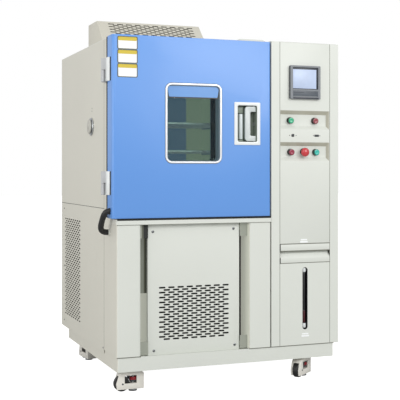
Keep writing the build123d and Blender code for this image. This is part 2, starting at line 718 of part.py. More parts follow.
def column_post():
    """Left post and partition of the column with its cross rails and the bolt's keeper slot."""
    post = block(COLUMN_X, COLUMN_X + SHEET, 0, BODY_D - SHEET, Z_PLINTH, Z_ROOF)
    post += block(COLUMN_X, COLUMN_X + POST_W, 0, SHEET, Z_PLINTH, Z_ROOF)
    for z in (Z_PLINTH, FASCIA_Z, Z_ROOF - RAIL_H):
        post += block(COLUMN_X, RIGHT_INNER, SHEET, SHEET + RAIL_D, z, z + RAIL_H)
    keeper = BOLT / 2 + SHEET
    return post - block(COLUMN_X, COLUMN_X + SHEET, BOLT_Y - SHEET, BOLT_Y + BOLT + SHEET,
                        LATCH_Z - keeper, LATCH_Z + keeper)


def button_sites():
    """X and Z of each push button: its offset from the column's middle and the recess it sits in."""
    return {name: (COLUMN_MID + offset, recess_mid(RECESS_DROPS[row])) for name, (offset, row) in BUTTONS.items()}


def recess_mid(drop):
    """Height of the middle of a recess whose top edge lies `drop` below the body's top."""
    return Z_TOP - drop - RECESS_H / 2


def recess(drop, grow):
    """Tapered hollow of one pressed recess, or its outer skin when grown by the sheet."""
    x0, x1 = FASCIA_X + RECESS_MARGIN - grow, FASCIA_END - RECESS_MARGIN + grow
    z1 = Z_TOP - drop + grow
    z0 = z1 - RECESS_H - 2 * grow
    tx, tz = RECESS_TAPER_X, RECESS_TAPER_Z

    def rectangle(a0, a1, c0, c1, y):
        return Wire.make_polygon([(a0, y, c0), (a1, y, c0), (a1, y, c1), (a0, y, c1)], close=True)

    mouth = rectangle(x0, x1, z0, z1, 0)
    floor = rectangle(x0 + tx, x1 - tx, z0 + tz, z1 - tz, RECESS_D + grow)
    return Solid.make_loft([mouth, floor], ruled=True)


def socket_sites():
    """X, width and height of the two small sockets."""
    return ((COLUMN_MID - SOCKET_X, SOCKET_A), (COLUMN_MID + SOCKET_X - 3.0, SOCKET_B))


def control_fascia():
    """Long fascia sheet with the controller cut-out, sockets and two recesses with button holes."""
    fascia = block(FASCIA_X, FASCIA_END, 0, SHEET, FASCIA_Z, Z_ROOF)
    fascia = Part() + fascia + [recess(drop, SHEET) for drop in RECESS_DROPS.values()]
    for drop in RECESS_DROPS.values():
        fascia -= recess(drop, 0)
    floor = RECESS_D + SHEET
    for x, z in button_sites().values():
        fascia -= rod_y(RECESS_D, floor, x, z, BARREL_HOLE_R)
    fascia -= rod_y(RECESS_D, floor, COLUMN_MID, recess_mid(RECESS_DROPS["lower"]), BARREL_HOLE_R)
    inset = CONTROLLER_BACK_INSET - CUTOUT_GAP
    x0 = FASCIA_X + CONTROLLER_X
    fascia -= block(x0 + inset, x0 + CONTROLLER_W - inset, 0, SHEET,
                    CONTROLLER_TOP - CONTROLLER_H + inset, CONTROLLER_TOP - inset)
    for x, (w, h) in socket_sites():
        z = Z_TOP - SOCKET_DROP
        fascia -= block(x - w / 2, x + w / 2, 0, SHEET, z - h / 2, z + h / 2)
    return fascia


def fascia_fittings():
    """Black bezels with their barrels, the stop's collar and the two sockets."""
    fittings = []
    barrel_end = RECESS_D + BARREL_L
    for x, z in button_sites().values():
        bezel = rod_y(RECESS_D - BEZEL_H, RECESS_D, x, z, BEZEL_R)
        bezel -= rod_y(RECESS_D - BEZEL_H, RECESS_D - BEZEL_SEAT, x, z, BEZEL_BORE_R)
        bezel += rod_y(RECESS_D, barrel_end, x, z, BARREL_R)
        fittings.append(bezel - rod_y(RECESS_D - BEZEL_H, barrel_end, x, z, BUTTON_STEM_R + RUNNING_GAP))
    z = recess_mid(RECESS_DROPS["lower"])
    collar = rod_y(RECESS_D - STOP_COLLAR_H, RECESS_D, COLUMN_MID, z, STOP_COLLAR_R)
    collar += rod_y(RECESS_D, barrel_end, COLUMN_MID, z, BARREL_R)
    fittings.append(collar - rod_y(RECESS_D - STOP_COLLAR_H, barrel_end, COLUMN_MID, z,
                                   STOP_STEM_R + RUNNING_GAP))
    for x, (w, h) in socket_sites():
        z = Z_TOP - SOCKET_DROP
        body = block(x - w / 2, x + w / 2, -SOCKET_PROUD, SOCKET_D, z - h / 2, z + h / 2)
        body -= block(x - w / 2 + SHEET, x + w / 2 - SHEET, -SOCKET_PROUD, SOCKET_D / 2, z - h / 2 + SHEET,
                      z + h / 2 - SHEET)
        fittings.append(body)
    return Compound(fittings)


def push_button(x, z):
    """Round cap with a soft rim on its stem."""
    front = RECESS_D - BEZEL_H - BUTTON_PROUD
    back = RECESS_D - BEZEL_SEAT - BUTTON_TRAVEL - SKIN_GAP
    cap = rod_y(front, back, x, z, BUTTON_R)
    cap = fillet(cap.faces().sort_by(Axis.Y)[0].edges(), BUTTON_PROUD / 2)
    return cap + rod_y(back, RECESS_D + BARREL_L - BUTTON_TRAVEL, x, z, BUTTON_STEM_R)


def stop_button():
    """Mushroom head of the emergency stop on its stem."""
    z = recess_mid(RECESS_DROPS["lower"])
    back = RECESS_D - STOP_COLLAR_H - STOP_GAP
    head = rod_y(FRONT_MOST, back, COLUMN_MID, z, STOP_R)
    head = fillet(head.faces().sort_by(Axis.Y)[0].edges(), STOP_HEAD_H / 2)
    return head + rod_y(back, RECESS_D + BARREL_L - STOP_TRAVEL, COLUMN_MID, z, STOP_STEM_R)


def controller():
    """Panel controller with a sunk screen, a key strip and its case behind the fascia."""
    x0, z1 = FASCIA_X + CONTROLLER_X, CONTROLLER_TOP
    x1, z0 = x0 + CONTROLLER_W, z1 - CONTROLLER_H
    bezel = block(x0, x1, -CONTROLLER_PROUD, 0, z0, z1)
    bezel = chamfer(bezel.faces().sort_by(Axis.Y)[0].edges(), SHEET)
    screen_x = (x0 + x1 - SCREEN_W) / 2
    front = -CONTROLLER_PROUD
    bezel -= block(screen_x, screen_x + SCREEN_W, front, front + SCREEN_D, z1 - SCREEN_TOP - SCREEN_H,
                   z1 - SCREEN_TOP)
    key_z = z0 + KEY_STRIP_BOTTOM
    bezel -= block(screen_x, screen_x + SCREEN_W, front, front + SHEET, key_z, key_z + KEY_STRIP_H)
    inset = CONTROLLER_BACK_INSET
    return bezel + block(x0 + inset, x1 - inset, 0, CONTROLLER_BACK_D, z0 + inset, z1 - inset)


def gauge_panel():
    """Panel below the drawer with the long slot of the water gauge."""
    panel = block(FASCIA_X, FASCIA_END, 0, SHEET, Z_PLINTH, GAUGE_TOP)
    return panel - frame_y(COLUMN_MID, GAUGE_SLOT_MID, GAUGE_SLOT_W, GAUGE_SLOT_H,
                           GAUGE_SLOT_W / 2 - RUNNING_GAP, 0, SHEET)


def sight_gauge():
    """Sight tube with an elbow fitting at each end, plugged against the tank."""
    reach = GAUGE_SLOT_H / 2 - FITTING_R
    gauge = rod_z(GAUGE_SLOT_MID - reach, GAUGE_SLOT_MID + reach, COLUMN_MID, TUBE_Y, TUBE_R)
    for side in (-1, 1):
        z = GAUGE_SLOT_MID + side * (reach - FITTING_H / 2)
        gauge += rod_z(z - FITTING_H / 2, z + FITTING_H / 2, COLUMN_MID, TUBE_Y, FITTING_R)
        gauge += rod_y(TUBE_Y, TANK_Y, COLUMN_MID, z, STUB_R)
    return gauge


def drawer_front_profile():
    """Side outline of the folded drawer front: lip, sloped finger recess and lower band."""
    t = SHEET
    lip, pull = DRAWER_TOP - LIP_H, DRAWER_TOP - LIP_H - PULL_H
    return ((0, DRAWER_TOP), (0, lip), (PULL_D, lip), (0, pull), (0, DRAWER_Z), (t, DRAWER_Z),
            (t, pull + t), (PULL_D + 3 * t, lip + t), (t, lip + t), (t, DRAWER_TOP))


def fill_drawer():
    """Drawer front with its finger pull and the filling basin behind it."""
    front = prism([(FASCIA_X, y, z) for y, z in drawer_front_profile()], (FASCIA_W, 0, 0))
    x0, x1 = FASCIA_X + BASIN_INSET, FASCIA_END - BASIN_INSET
    y0, y1 = PULL_D, PULL_D + BASIN_L
    z0 = DRAWER_Z + BASIN_Z
    z1, wall = z0 + BASIN_H, BASIN_WALL
    lip = DRAWER_TOP - LIP_H
    basin = block(x0, x1, y0, y1, z0, z1)
    basin -= block(x0 + wall, x1 - wall, y0 + 3 * wall, y1 - wall, z0 + wall, z1)
    basin -= block(x0, x1, y0, y0 + 2 * wall, z0, lip)
    basin -= rod_z(z0, z0 + wall, COLUMN_MID, (y0 + y1) / 2, BASIN_DRAIN_R)
    return Part() + front + basin


def drawer_runners():
    """Carrier plate across the column with an upright rail and a ledge on each side of the basin."""
    z0 = GAUGE_TOP - CARRIER_T
    y0, y1 = RAIL_D + 3 * SHEET, PULL_D + BASIN_L
    carrier = block(COLUMN_X + SHEET, RIGHT_INNER, y0, y1, z0, z0 + CARRIER_T)
    carrier -= rod_z(z0, z0 + CARRIER_T, COLUMN_MID, PULL_D + BASIN_L / 2, 2 * BASIN_DRAIN_R)
    seat = DRAWER_Z + BASIN_Z - SEAT_GAP
    left = FASCIA_X + BASIN_INSET - SEAT_GAP
    right = FASCIA_END - BASIN_INSET + SEAT_GAP
    top = seat + BASIN_H / 2
    carrier += block(left - RUNNER_T, left, y0, y1, z0, top)
    carrier += block(right, right + RUNNER_T, y0, y1, z0, top)
    carrier += block(left - RUNNER_T, left + RUNNER_LEDGE, y0, y1, z0, seat)
    carrier += block(right - RUNNER_LEDGE, right + RUNNER_T, y0, y1, z0, seat)
    return carrier


def water_tank():
    """Open tank under the drawer, standing on the deck."""
    x0, x1 = FASCIA_X + TANK_INSET, FASCIA_END - TANK_INSET
    y1, z1, wall = TANK_Y + TANK_D, Z_DECK + TANK_H, TANK_WALL
    tank = block(x0, x1, TANK_Y, y1, Z_DECK, z1)
    return tank - block(x0 + wall, x1 - wall, TANK_Y + wall, y1 - wall, Z_DECK + wall, z1)


def compressor():
    """Compressor pot with a domed top on its foot plate, with two pipe stubs."""
    x, y, r = COMPRESSOR_X, COMPRESSOR_Y, COMPRESSOR_R
    foot = Z_DECK + COMPRESSOR_FOOT_T
    pot = rod_z(foot, foot + COMPRESSOR_H, x, y, r)
    pot = fillet(pot.faces().sort_by(Axis.Z)[-1].edges(), r / 2)
    pot += block(x - r, x + r, y - r, y + r, Z_DECK, foot)
    for side, rise in ((-1, 0.35), (1, 0.7)):
        near, far = sorted((x + side * r * 0.9, x + side * (r + PIPE_STUB)))
        pot += rod_x(near, far, y, foot + COMPRESSOR_H * rise, COIL_TUBE)
    return pot


def condenser():
    """Finned condenser with end plates, fan shroud, motor bracket and motor."""
    x0, x1 = COIL_X, COIL_X + COIL_W
    y0, y1, z0, z1 = COIL_Y, COIL_Y + COIL_D, Z_DECK, Z_DECK + COIL_H
    coil = block(x0, x1, y1, y1 + SHEET, z0, z1)
    coil -= rod_y(y1, y1 + SHEET, COOLER_X, COOLER_Z, SHROUD_R)
    for x in (x0, x1 - SHEET):
        coil += block(x, x + SHEET, y0, y1, z0, z1)
    step = (COIL_W - 2 * SHEET) / (COIL_FINS + 1)
    for fin in range(1, COIL_FINS + 1):
        x = x0 + SHEET + fin * step
        coil += block(x - SHEET / 2, x + SHEET / 2, y0, y1 - SHEET, z0 + 4 * SHEET, z1 - 4 * SHEET)
    rise = COIL_H / COIL_TUBES
    for tube in range(COIL_TUBES):
        z, y = z0 + (tube + 0.5) * rise, (y0 + y1) / 2
        coil += block(x0, x1, y - COIL_TUBE / 2, y + COIL_TUBE / 2, z - COIL_TUBE / 2, z + COIL_TUBE / 2)
    ring = rod_y(y1, y1 + SHROUD_D, COOLER_X, COOLER_Z, SHROUD_R + SHEET)
    coil += ring - rod_y(y1, y1 + SHROUD_D, COOLER_X, COOLER_Z, SHROUD_R)
    back = y1 + SHROUD_D
    for angle in (45, 135):
        bar = block(-SHROUD_R - SHEET, SHROUD_R + SHEET, back - SHEET, back + SHEET, -COIL_TUBE, COIL_TUBE)
        coil += Pos(COOLER_X, 0, COOLER_Z) * Rot(0, angle, 0) * bar
    coil += rod_y(back, back + COOLER_MOTOR_L, COOLER_X, COOLER_Z, COOLER_MOTOR_R)
    return coil - rod_y(back - 2 * SHEET, back + COOLER_MOTOR_L / 2, COOLER_X, COOLER_Z,
                        COOLER_SHAFT_R + RUNNING_GAP)


def condenser_fan():
    """Axial fan with pitched blades on its shaft."""
    y0 = COIL_Y + COIL_D + 2 * SHEET
    y1 = COIL_Y + COIL_D + SHROUD_D - 4 * SHEET
    mid = (y0 + y1) / 2
    fan = rod_y(y0, y1, 0, 0, COOLER_HUB_R)
    blade_l = SHROUD_R - COOLER_HUB_R - SHEET
    for blade in range(COOLER_BLADES):
        vane = Pos(0, mid, COOLER_HUB_R - SHEET + blade_l / 2) * Rot(0, 0, COOLER_BLADE_PITCH) * Box(
            COOLER_HUB_R * 1.6, SHEET, blade_l)
        fan += Rot(0, blade * 360 / COOLER_BLADES, 0) * vane
    fan += rod_y(y1, COIL_Y + COIL_D + SHROUD_D + COOLER_MOTOR_L / 3, 0, 0, COOLER_SHAFT_R)
    return Pos(COOLER_X, 0, COOLER_Z) * fan


def circulation_fan():
    """Centrifugal wheel behind the baffle on its long shaft."""
    y0 = BAFFLE_Y + 5 * SHEET
    y1 = y0 + FAN_D
    wheel = rod_y(y1 - SHEET, y1, 0, 0, FAN_R)
    wheel += rod_y(y0, y0 + SHEET, 0, 0, FAN_R) - rod_y(y0, y0 + SHEET, 0, 0, FAN_EYE_R)
    for blade in range(FAN_BLADES):
        vane = Pos((FAN_EYE_R + FAN_R) / 2, (y0 + y1) / 2, 0) * Box(FAN_R - FAN_EYE_R - SHEET, FAN_D, SHEET)
        wheel += Rot(0, blade * 360 / FAN_BLADES, 0) * vane
    wheel += rod_y(y1, INSULATION_BACK + MOTOR_FLANGE_T + MOTOR_L / 4, 0, 0, FAN_SHAFT_R)
    return Pos(FAN_X, 0, FAN_Z) * wheel


def fan_motor():
    """Fan motor on its flange behind the insulation."""
    y0 = INSULATION_BACK
    y1 = y0 + MOTOR_FLANGE_T
    half = MOTOR_FLANGE / 2
    motor = block(FAN_X - half, FAN_X + half, y0, y1, FAN_Z - half, FAN_Z + half)
    motor += rod_y(y1, y1 + MOTOR_L, FAN_X, FAN_Z, MOTOR_R)
    return motor - rod_y(y0, y1 + MOTOR_L / 3, FAN_X, FAN_Z, FAN_SHAFT_R + RUNNING_GAP)


def evaporator_coil():
    """Finned evaporator standing on the liner's floor behind the baffle."""
    x0, x1 = CAVITY_X + EVAPORATOR_MARGIN, CAVITY_END - EVAPORATOR_MARGIN
    y0, y1 = BAFFLE_Y + 6 * SHEET, CAVITY_BACK - 5 * SHEET
    z0, z1 = CAVITY_Z, CAVITY_Z + EVAPORATOR_H
    coil = block(x0, x0 + SHEET, y0, y1, z0, z1) + block(x1 - SHEET, x1, y0, y1, z0, z1)
    step = (x1 - x0) / (EVAPORATOR_FINS + 1)
    for fin in range(1, EVAPORATOR_FINS + 1):
        x = x0 + fin * step
        coil += block(x - SHEET / 2, x + SHEET / 2, y0, y1, z0 + 4 * SHEET, z1)
    for tube in range(3):
        z, y = z0 + (tube + 0.5) * EVAPORATOR_H / 3, (y0 + y1) / 2
        coil += block(x0, x1, y - COIL_TUBE, y + COIL_TUBE, z - COIL_TUBE, z + COIL_TUBE)
    return coil


def air_baffle():
    """Rear baffle of the test space with the fan's eye and rows of air slots."""
    x0, x1 = CAVITY_X + SEAT_GAP, CAVITY_END - SEAT_GAP
    z0, z1 = CAVITY_Z + SEAT_GAP, CAVITY_TOP - SEAT_GAP
    baffle = block(x0, x1, BAFFLE_Y, BAFFLE_Y + SHEET, z0, z1)
    baffle -= rod_y(BAFFLE_Y, BAFFLE_Y + SHEET, FAN_X, FAN_Z, FAN_EYE_R)
    step = (x1 - x0) / BAFFLE_SLOTS
    for slot in range(BAFFLE_SLOTS):
        x = x0 + (slot + 0.5) * step
        for z in (z0 + step / 2, z1 - step / 3):
            baffle -= block(x - step / 3, x + step / 3, BAFFLE_Y, BAFFLE_Y + SHEET, z - SLOT_H, z + SLOT_H)
    return baffle


def shelf(height):
    """Wire shelf: a frame with slats from front to back."""
    x0, x1 = CAVITY_X + SHELF_SIDE_GAP, CAVITY_END - SHELF_SIDE_GAP
    y1 = BAFFLE_Y - SHELF_BACK_GAP
    y0, bar = y1 - SHELF_D, SHELF_BAR
    z = CAVITY_Z + height
    rack = block(x0, x1, y0, y1, z, z + bar) - block(x0 + bar, x1 - bar, y0 + bar, y1 - bar, z, z + bar)
    step = (x1 - x0) / (SHELF_SLATS + 1)
    for slat in range(1, SHELF_SLATS + 1):
        x = x0 + slat * step
        rack += block(x - bar / 3, x + bar / 3, y0 + bar, y1 - bar, z + bar / 2, z + bar)
    return rack


def door_pan(grow):
    """Outer block of the door, or the inside of its pan when shrunk by the sheet."""
    x0, x1 = DOOR_X + grow, DOOR_END - grow
    pan = block(x0, x1, grow, DOOR_T, Z_DOOR + grow, Z_DOOR_TOP - grow)
    front = pan.faces().sort_by(Axis.Y)[0]
    sides = front.edges().filter_by(Axis.Z).sort_by(Axis.X)
    pan = fillet(sides[0], DOOR_LEFT_R - grow)
    right = [e for e in pan.edges().filter_by(Axis.Z) if e.center().X > x1 - 1 and e.center().Y < grow + 1]
    return fillet(right, DOOR_RIGHT_R - grow)


def door_shell():
    """Painted door pan with its window, latch and bolt openings and the conduit's gland."""
    shell = door_pan(0) - door_pan(SHEET)
    cut = WINDOW_FRAME / 2
    shell -= frame_y(DOOR_MID_X, WINDOW_Z, WINDOW_W - 2 * cut, WINDOW_H - 2 * cut, WINDOW_R - cut, 0, SHEET)
    shell -= block(POCKET_X - SHEET - FIT_GAP, POCKET_END + SHEET + FIT_GAP, 0, SHEET,
                   LATCH_Z - POCKET_H / 2 - SHEET - FIT_GAP, LATCH_Z + POCKET_H / 2 + SHEET + FIT_GAP)
    hole = BOLT / 2 + BOLT_GAP
    shell -= block(DOOR_END - SHEET, DOOR_END, BOLT_Y - BOLT_GAP, BOLT_Y + BOLT + BOLT_GAP,
                   LATCH_Z - hole, LATCH_Z + hole)
    return shell + rod_x(DOOR_X - DOOR_GLAND, DOOR_X + SHEET, CONDUIT_DOOR_Y, CONDUIT_DOOR_Z, GLAND_R)


def door_plug():
    """Inner door sheet with the stepped plug and the window tunnel."""
    x0, x1 = DOOR_X + SHEET + FIT_GAP, DOOR_END - SHEET - FIT_GAP
    back = DOOR_T + PLUG_D
    plug = block(x0, x1, DOOR_T - SHEET, DOOR_T, Z_DOOR + SHEET + FIT_GAP, Z_DOOR_TOP - SHEET - FIT_GAP)
    px0, px1 = CAVITY_X + PLUG_GAP, CAVITY_END - PLUG_GAP
    pz0, pz1 = CAVITY_Z + PLUG_GAP, CAVITY_TOP - PLUG_GAP
    plug += block(px0, px1, DOOR_T, back, pz0, pz1)
    plug -= block(px0 + SHEET, px1 - SHEET, DOOR_T - SHEET, back - SHEET, pz0 + SHEET, pz1 - SHEET)
    w, h = WINDOW_W - 2 * WINDOW_FRAME, WINDOW_H - 2 * WINDOW_FRAME
    r = WINDOW_R - WINDOW_FRAME
    plug += frame_y(DOOR_MID_X, WINDOW_Z, w + 2 * SHEET, h + 2 * SHEET, r + SHEET, SHEET + FIT_GAP, back)
    return plug - frame_y(DOOR_MID_X, WINDOW_Z, w, h, r, 0, back)


def door_gasket():
    """Rubber seal round the back of the door."""
    x0, x1, z0, z1 = DOOR_X + FIT_GAP, DOOR_END - FIT_GAP, Z_DOOR + FIT_GAP, Z_DOOR_TOP - FIT_GAP
    back, w = FRONT_DEPTH - GASKET_CLEAR, GASKET_W
    ring = block(x0, x1, DOOR_T, back, z0, z1)
    return ring - block(x0 + w, x1 - w, DOOR_T, back, z0 + w, z1 - w)


def window_trim():
    """Bright trim round the window, standing proud of the door."""
    trim = frame_y(DOOR_MID_X, WINDOW_Z, WINDOW_W, WINDOW_H, WINDOW_R, -TRIM_PROUD, 0)
    trim = chamfer(trim.faces().sort_by(Axis.Y)[0].edges(), TRIM_PROUD / 3)
    inner = 2 * WINDOW_FRAME
    return trim - frame_y(DOOR_MID_X, WINDOW_Z, WINDOW_W - inner, WINDOW_H - inner, WINDOW_R - WINDOW_FRAME,
                          -TRIM_PROUD, 0)


def window_glass():
    """Front and rear panes of the heated window."""
    inner = 2 * WINDOW_FRAME + 2 * PANE_CLEAR
    w, h, r = WINDOW_W - inner, WINDOW_H - inner, WINDOW_R - WINDOW_FRAME - PANE_CLEAR
    back = DOOR_T + PLUG_D - PANE_FRONT
    panes = [frame_y(DOOR_MID_X, WINDOW_Z, w, h, r, y, y + PANE_T) for y in (PANE_FRONT, back - PANE_T)]
    return Compound(panes)


def door_hinge_leaves():
    """Door side of the two hinges: leaf on the door's edge and the upper knuckle."""
    leaves = []
    y0, y1 = DOOR_LEAF_Y
    x = -PIN_X
    for z in HINGE_CENTRES:
        low, high = z - HINGE_H / 2, z + HINGE_H / 2
        leaf = prism([(DOOR_X, y0, low), (DOOR_X - LEAF_T, y0 + LEAF_T, low), (DOOR_X - LEAF_T, y1, low),
                      (DOOR_X, y1, low)], (0, 0, HINGE_H))
        arm = prism([(DOOR_X - LEAF_T, y1 - LEAF_T, z), (x - KNUCKLE_R, PIN_Y, z), (x, PIN_Y - SHEET, z),
                     (DOOR_X, y1 - SHEET, z)], (0, 0, HINGE_H / 2))
        arm += rod_z(z, high, x, PIN_Y, KNUCKLE_R)
        arm -= block(x - 2 * KNUCKLE_R, 0, 0, PIN_Y + 2 * KNUCKLE_R, z, z + KNUCKLE_GAP / 2)
        leaf += arm
        leaves.append(leaf - rod_z(low, high, x, PIN_Y, HINGE_PIN_R + RUNNING_GAP))
    return Compound(leaves)


def body_hinge_leaves():
    """Body side of the two hinges: leaf on the side panel, lower knuckle and the pin."""
    leaves = []
    y0, y1 = PIN_Y + BODY_LEAF_Y[0], PIN_Y + BODY_LEAF_Y[1]
    x = -PIN_X
    for z in HINGE_CENTRES:
        low, high = z - HINGE_H / 2, z + HINGE_H / 2
        leaf = block(-LEAF_T, 0, y0, y1, low, high)
        arm = prism([(x, PIN_Y - KNUCKLE_R / 2, low), (x, PIN_Y + KNUCKLE_R, low), (-LEAF_T, y0 + LEAF_T, low),
                     (0, y0 + LEAF_T, low), (0, y0, low)], (0, 0, HINGE_H / 2 - KNUCKLE_GAP / 2))
        leaf += arm + rod_z(low, z - KNUCKLE_GAP / 2, x, PIN_Y, KNUCKLE_R)
        leaf += rod_z(low, high, x, PIN_Y, HINGE_PIN_R)
        leaves.append(leaf)
    return Compound(leaves)


def latch_housing():
    """Latch box sunk in the door, with its rim, the lever's bearings and the bolt guide."""
    z0, z1 = LATCH_Z - POCKET_H / 2, LATCH_Z + POCKET_H / 2
    box = block(POCKET_X - SHEET, POCKET_END + SHEET, 0, POCKET_D + SHEET, z0 - SHEET, z1 + SHEET)
    rim = frame_y(LATCH_MID_X, LATCH_Z, LATCH_W, LATCH_H, LATCH_CORNER_R, -LATCH_PROUD, 0)
    box += chamfer(rim.faces().sort_by(Axis.Y)[0].edges(), LATCH_PROUD / 3)
    ax, ay = LEVER_AXIS
    wall = LEVER_PIVOT_R + SHEET
    box += block(ax - wall, ax + wall, ay - wall, ay + wall, z1, z1 + 4 * SHEET)
    box += block(ax - wall, ax + wall, ay - wall, ay + wall, z0 - 4 * SHEET, z0)
    guide = BOLT / 2 + BOLT_GAP + BOLT_GUIDE_WALL
    box += block(POCKET_END, POCKET_END + BOLT_GUIDE_L, BOLT_Y - BOLT_GAP - BOLT_GUIDE_WALL,
                 BOLT_Y + BOLT + BOLT_GAP + BOLT_GUIDE_WALL, LATCH_Z - guide, LATCH_Z + guide)
    box -= block(POCKET_X, POCKET_END, -LATCH_PROUD, POCKET_D, z0, z1)
    slide = BOLT / 2 + BOLT_GAP
    box -= block(POCKET_END, POCKET_END + BOLT_GUIDE_L, BOLT_Y - BOLT_GAP, BOLT_Y + BOLT + BOLT_GAP,
                 LATCH_Z - slide, LATCH_Z + slide)
    return box - rod_z(z0 - 4 * SHEET, z1 + 4 * SHEET, ax, ay, LEVER_PIVOT_R + RUNNING_GAP)


def latch_lever():
    """C-shaped pull lever with a pivot pin at the end of each arm."""
    x0 = POCKET_X + LEVER_LEFT
    ax, ay = LEVER_AXIS
    half = POCKET_H / 2 - 2 * SHEET
    z0, z1 = LATCH_Z - half, LATCH_Z + half
    y0, y1 = LEVER_Y, LEVER_Y + LEVER_T
    lever = block(x0, ax, y0, y1, z0, z1)
    lever = fillet(lever.faces().sort_by(Axis.X)[0].edges().filter_by(Axis.Z), LEVER_T / 4)
    lever -= block(x0 + LEVER_BAR_W, ax, y0, y1, z0 + LEVER_ARM_H, z1 - LEVER_ARM_H)
    for low, high in ((z0, z0 + LEVER_ARM_H), (z1 - LEVER_ARM_H, z1)):
        lever += rod_z(low, high, ax, ay, LEVER_T / 2)
    lever += rod_z(z1, LATCH_Z + POCKET_H / 2 + 3 * SHEET, ax, ay, LEVER_PIVOT_R)
    return lever + rod_z(LATCH_Z - POCKET_H / 2 - 3 * SHEET, z0, ax, ay, LEVER_PIVOT_R)


def latch_bolt():
    """Square latch bolt with a bevelled nose, in its guide."""
    x1 = DOOR_END + BOLT_NOSE
    bolt = block(POCKET_END - SHEET, x1, BOLT_Y, BOLT_Y + BOLT, LATCH_Z - BOLT / 2, LATCH_Z + BOLT / 2)
    nose = bolt.faces().sort_by(Axis.X)[-1].edges().filter_by(Axis.Z).sort_by(Axis.Y)[-1]
    return chamfer(nose, BOLT_NOSE)


def door_conduit():
    """Flexible conduit held at both ends, bowed out between the door's edge and the body's side."""
    route = ((DOOR_X - DOOR_GLAND, CONDUIT_DOOR_Y, CONDUIT_DOOR_Z),
             (-CONDUIT_OUT, CONDUIT_DOOR_Y, CONDUIT_DOOR_Z),
             (-CONDUIT_OUT, CONDUIT_BODY_Y, CONDUIT_BODY_Z),
             (-BODY_GLAND, CONDUIT_BODY_Y, CONDUIT_BODY_Z))
    path = FilletPolyline(*route, radius=list(CONDUIT_BENDS))
    section = Plane(origin=route[0], z_dir=(-1, 0, 0)) * Circle(CONDUIT_R)
    tube = sweep(section, path=path)
    ideal = section.area * path.length
    print(f"conduit: length {path.length:.1f}, bends {CONDUIT_BENDS}, volume / ideal {tube.volume / ideal:.4f}")
    return tube


def port_flange():
    """Cable port: outer flange and the tube through the wall."""
    tube_r = PORT_R + PORT_WALL
    port = rod_x(-PORT_FLANGE_T, 0, PORT_Y, PORT_Z, PORT_FLANGE_R)
    port = chamfer(port.faces().sort_by(Axis.X)[0].edges(), SHEET)
    port += rod_x(-PORT_FLANGE_T, CAVITY_X, PORT_Y, PORT_Z, tube_r)
    return port - rod_x(-PORT_FLANGE_T, CAVITY_X, PORT_Y, PORT_Z, PORT_R)


def port_plug():
    """Stepped plug of the cable port with its head outside."""
    x0 = -PORT_FLANGE_T - SEAT_GAP
    plug = rod_x(x0 - PLUG_HEAD_L, x0, PORT_Y, PORT_Z, PLUG_HEAD_R)
    plug = fillet(plug.faces().sort_by(Axis.X)[0].edges(), PLUG_HEAD_L / 3)
    return plug + rod_x(x0, x0 + PORT_PLUG_L, PORT_Y, PORT_Z, PORT_R - FIT_GAP)


def caster_housing():
    """Housing over the wheel, with the kingpin bore, the dial's window and the foot's screw bore."""
    top = CASTER_H - CASTER_PLATE_T - HOUSING_GAP
    half = WHEEL_W / 2 + WHEEL_GAP + CHEEK
    brow_x, brow_drop = HOUSING_BROW
    outline = ((-HOUSING_BACK, HOUSING_LOW), (-HOUSING_BACK - HOUSING_BULGE, WHEEL_R),
               (-HOUSING_BACK + brow_x, top - brow_drop), (-HOUSING_BACK + HOUSING_CROWN, top),
               (HOUSING_FRONT - HOUSING_NOSE, top), (HOUSING_FRONT, top - HOUSING_NOSE),
               (HOUSING_FRONT, HOUSING_LOW))
    body = prism([(x, -half, z) for x, z in outline], (0, 2 * half, 0))
    inner = WHEEL_W / 2 + WHEEL_GAP
    well_r = WHEEL_R + 2 * WHEEL_GAP
    well = rod_y(-inner, inner, -WHEEL_BACK, WHEEL_R, well_r)
    well += block(-WHEEL_BACK - 2 * well_r, -WHEEL_BACK + well_r, -inner, inner, 0, WHEEL_R)
    well += block(-WHEEL_BACK - 2 * well_r, -WHEEL_BACK, -inner, inner, WHEEL_R, WHEEL_R + well_r / 2)
    body -= well
    body += rod_y(-half, half, -WHEEL_BACK, WHEEL_R, WHEEL_BORE_R)
    low, high = DIAL_WINDOW
    body -= block(-DIAL_WINDOW_W / 2, DIAL_WINDOW_W / 2, -half, half, low, high)
    body -= rod_z(low, high, FOOT_X, 0, DIAL_R + DIAL_CLEAR)
    body -= rod_z(HOUSING_LOW, FOOT_T + FOOT_TRAVEL + DIAL_CLEAR, FOOT_X, 0, FOOT_R + DIAL_CLEAR)
    body -= rod_z(HOUSING_LOW, FOOT_STEM_TOP + FOOT_TRAVEL + DIAL_CLEAR, FOOT_X, 0, FOOT_STEM_R + RUNNING_GAP)
    return body - rod_z(CASTER_H - KINGPIN_LOW - 1, top, 0, 0, KINGPIN_R + RUNNING_GAP)


def caster_wheel():
    """Wheel with a rounded tread, a hub face on each side and its axle bore."""
    wheel = rod_y(-WHEEL_W / 2, WHEEL_W / 2, -WHEEL_BACK, WHEEL_R, WHEEL_R)
    wheel = fillet(wheel.edges().filter_by(GeomType.CIRCLE), WHEEL_W / 6)
    for side in (-1, 1):
        y0, y1 = sorted((side * WHEEL_W / 2, side * (WHEEL_W / 2 - 3)))
        wheel -= rod_y(y0, y1, -WHEEL_BACK, WHEEL_R, WHEEL_R * 0.66) - rod_y(
            y0, y1, -WHEEL_BACK, WHEEL_R, WHEEL_R * 0.33)
    return wheel - rod_y(-WHEEL_W / 2, WHEEL_W / 2, -WHEEL_BACK, WHEEL_R, WHEEL_BORE_R + RUNNING_GAP)


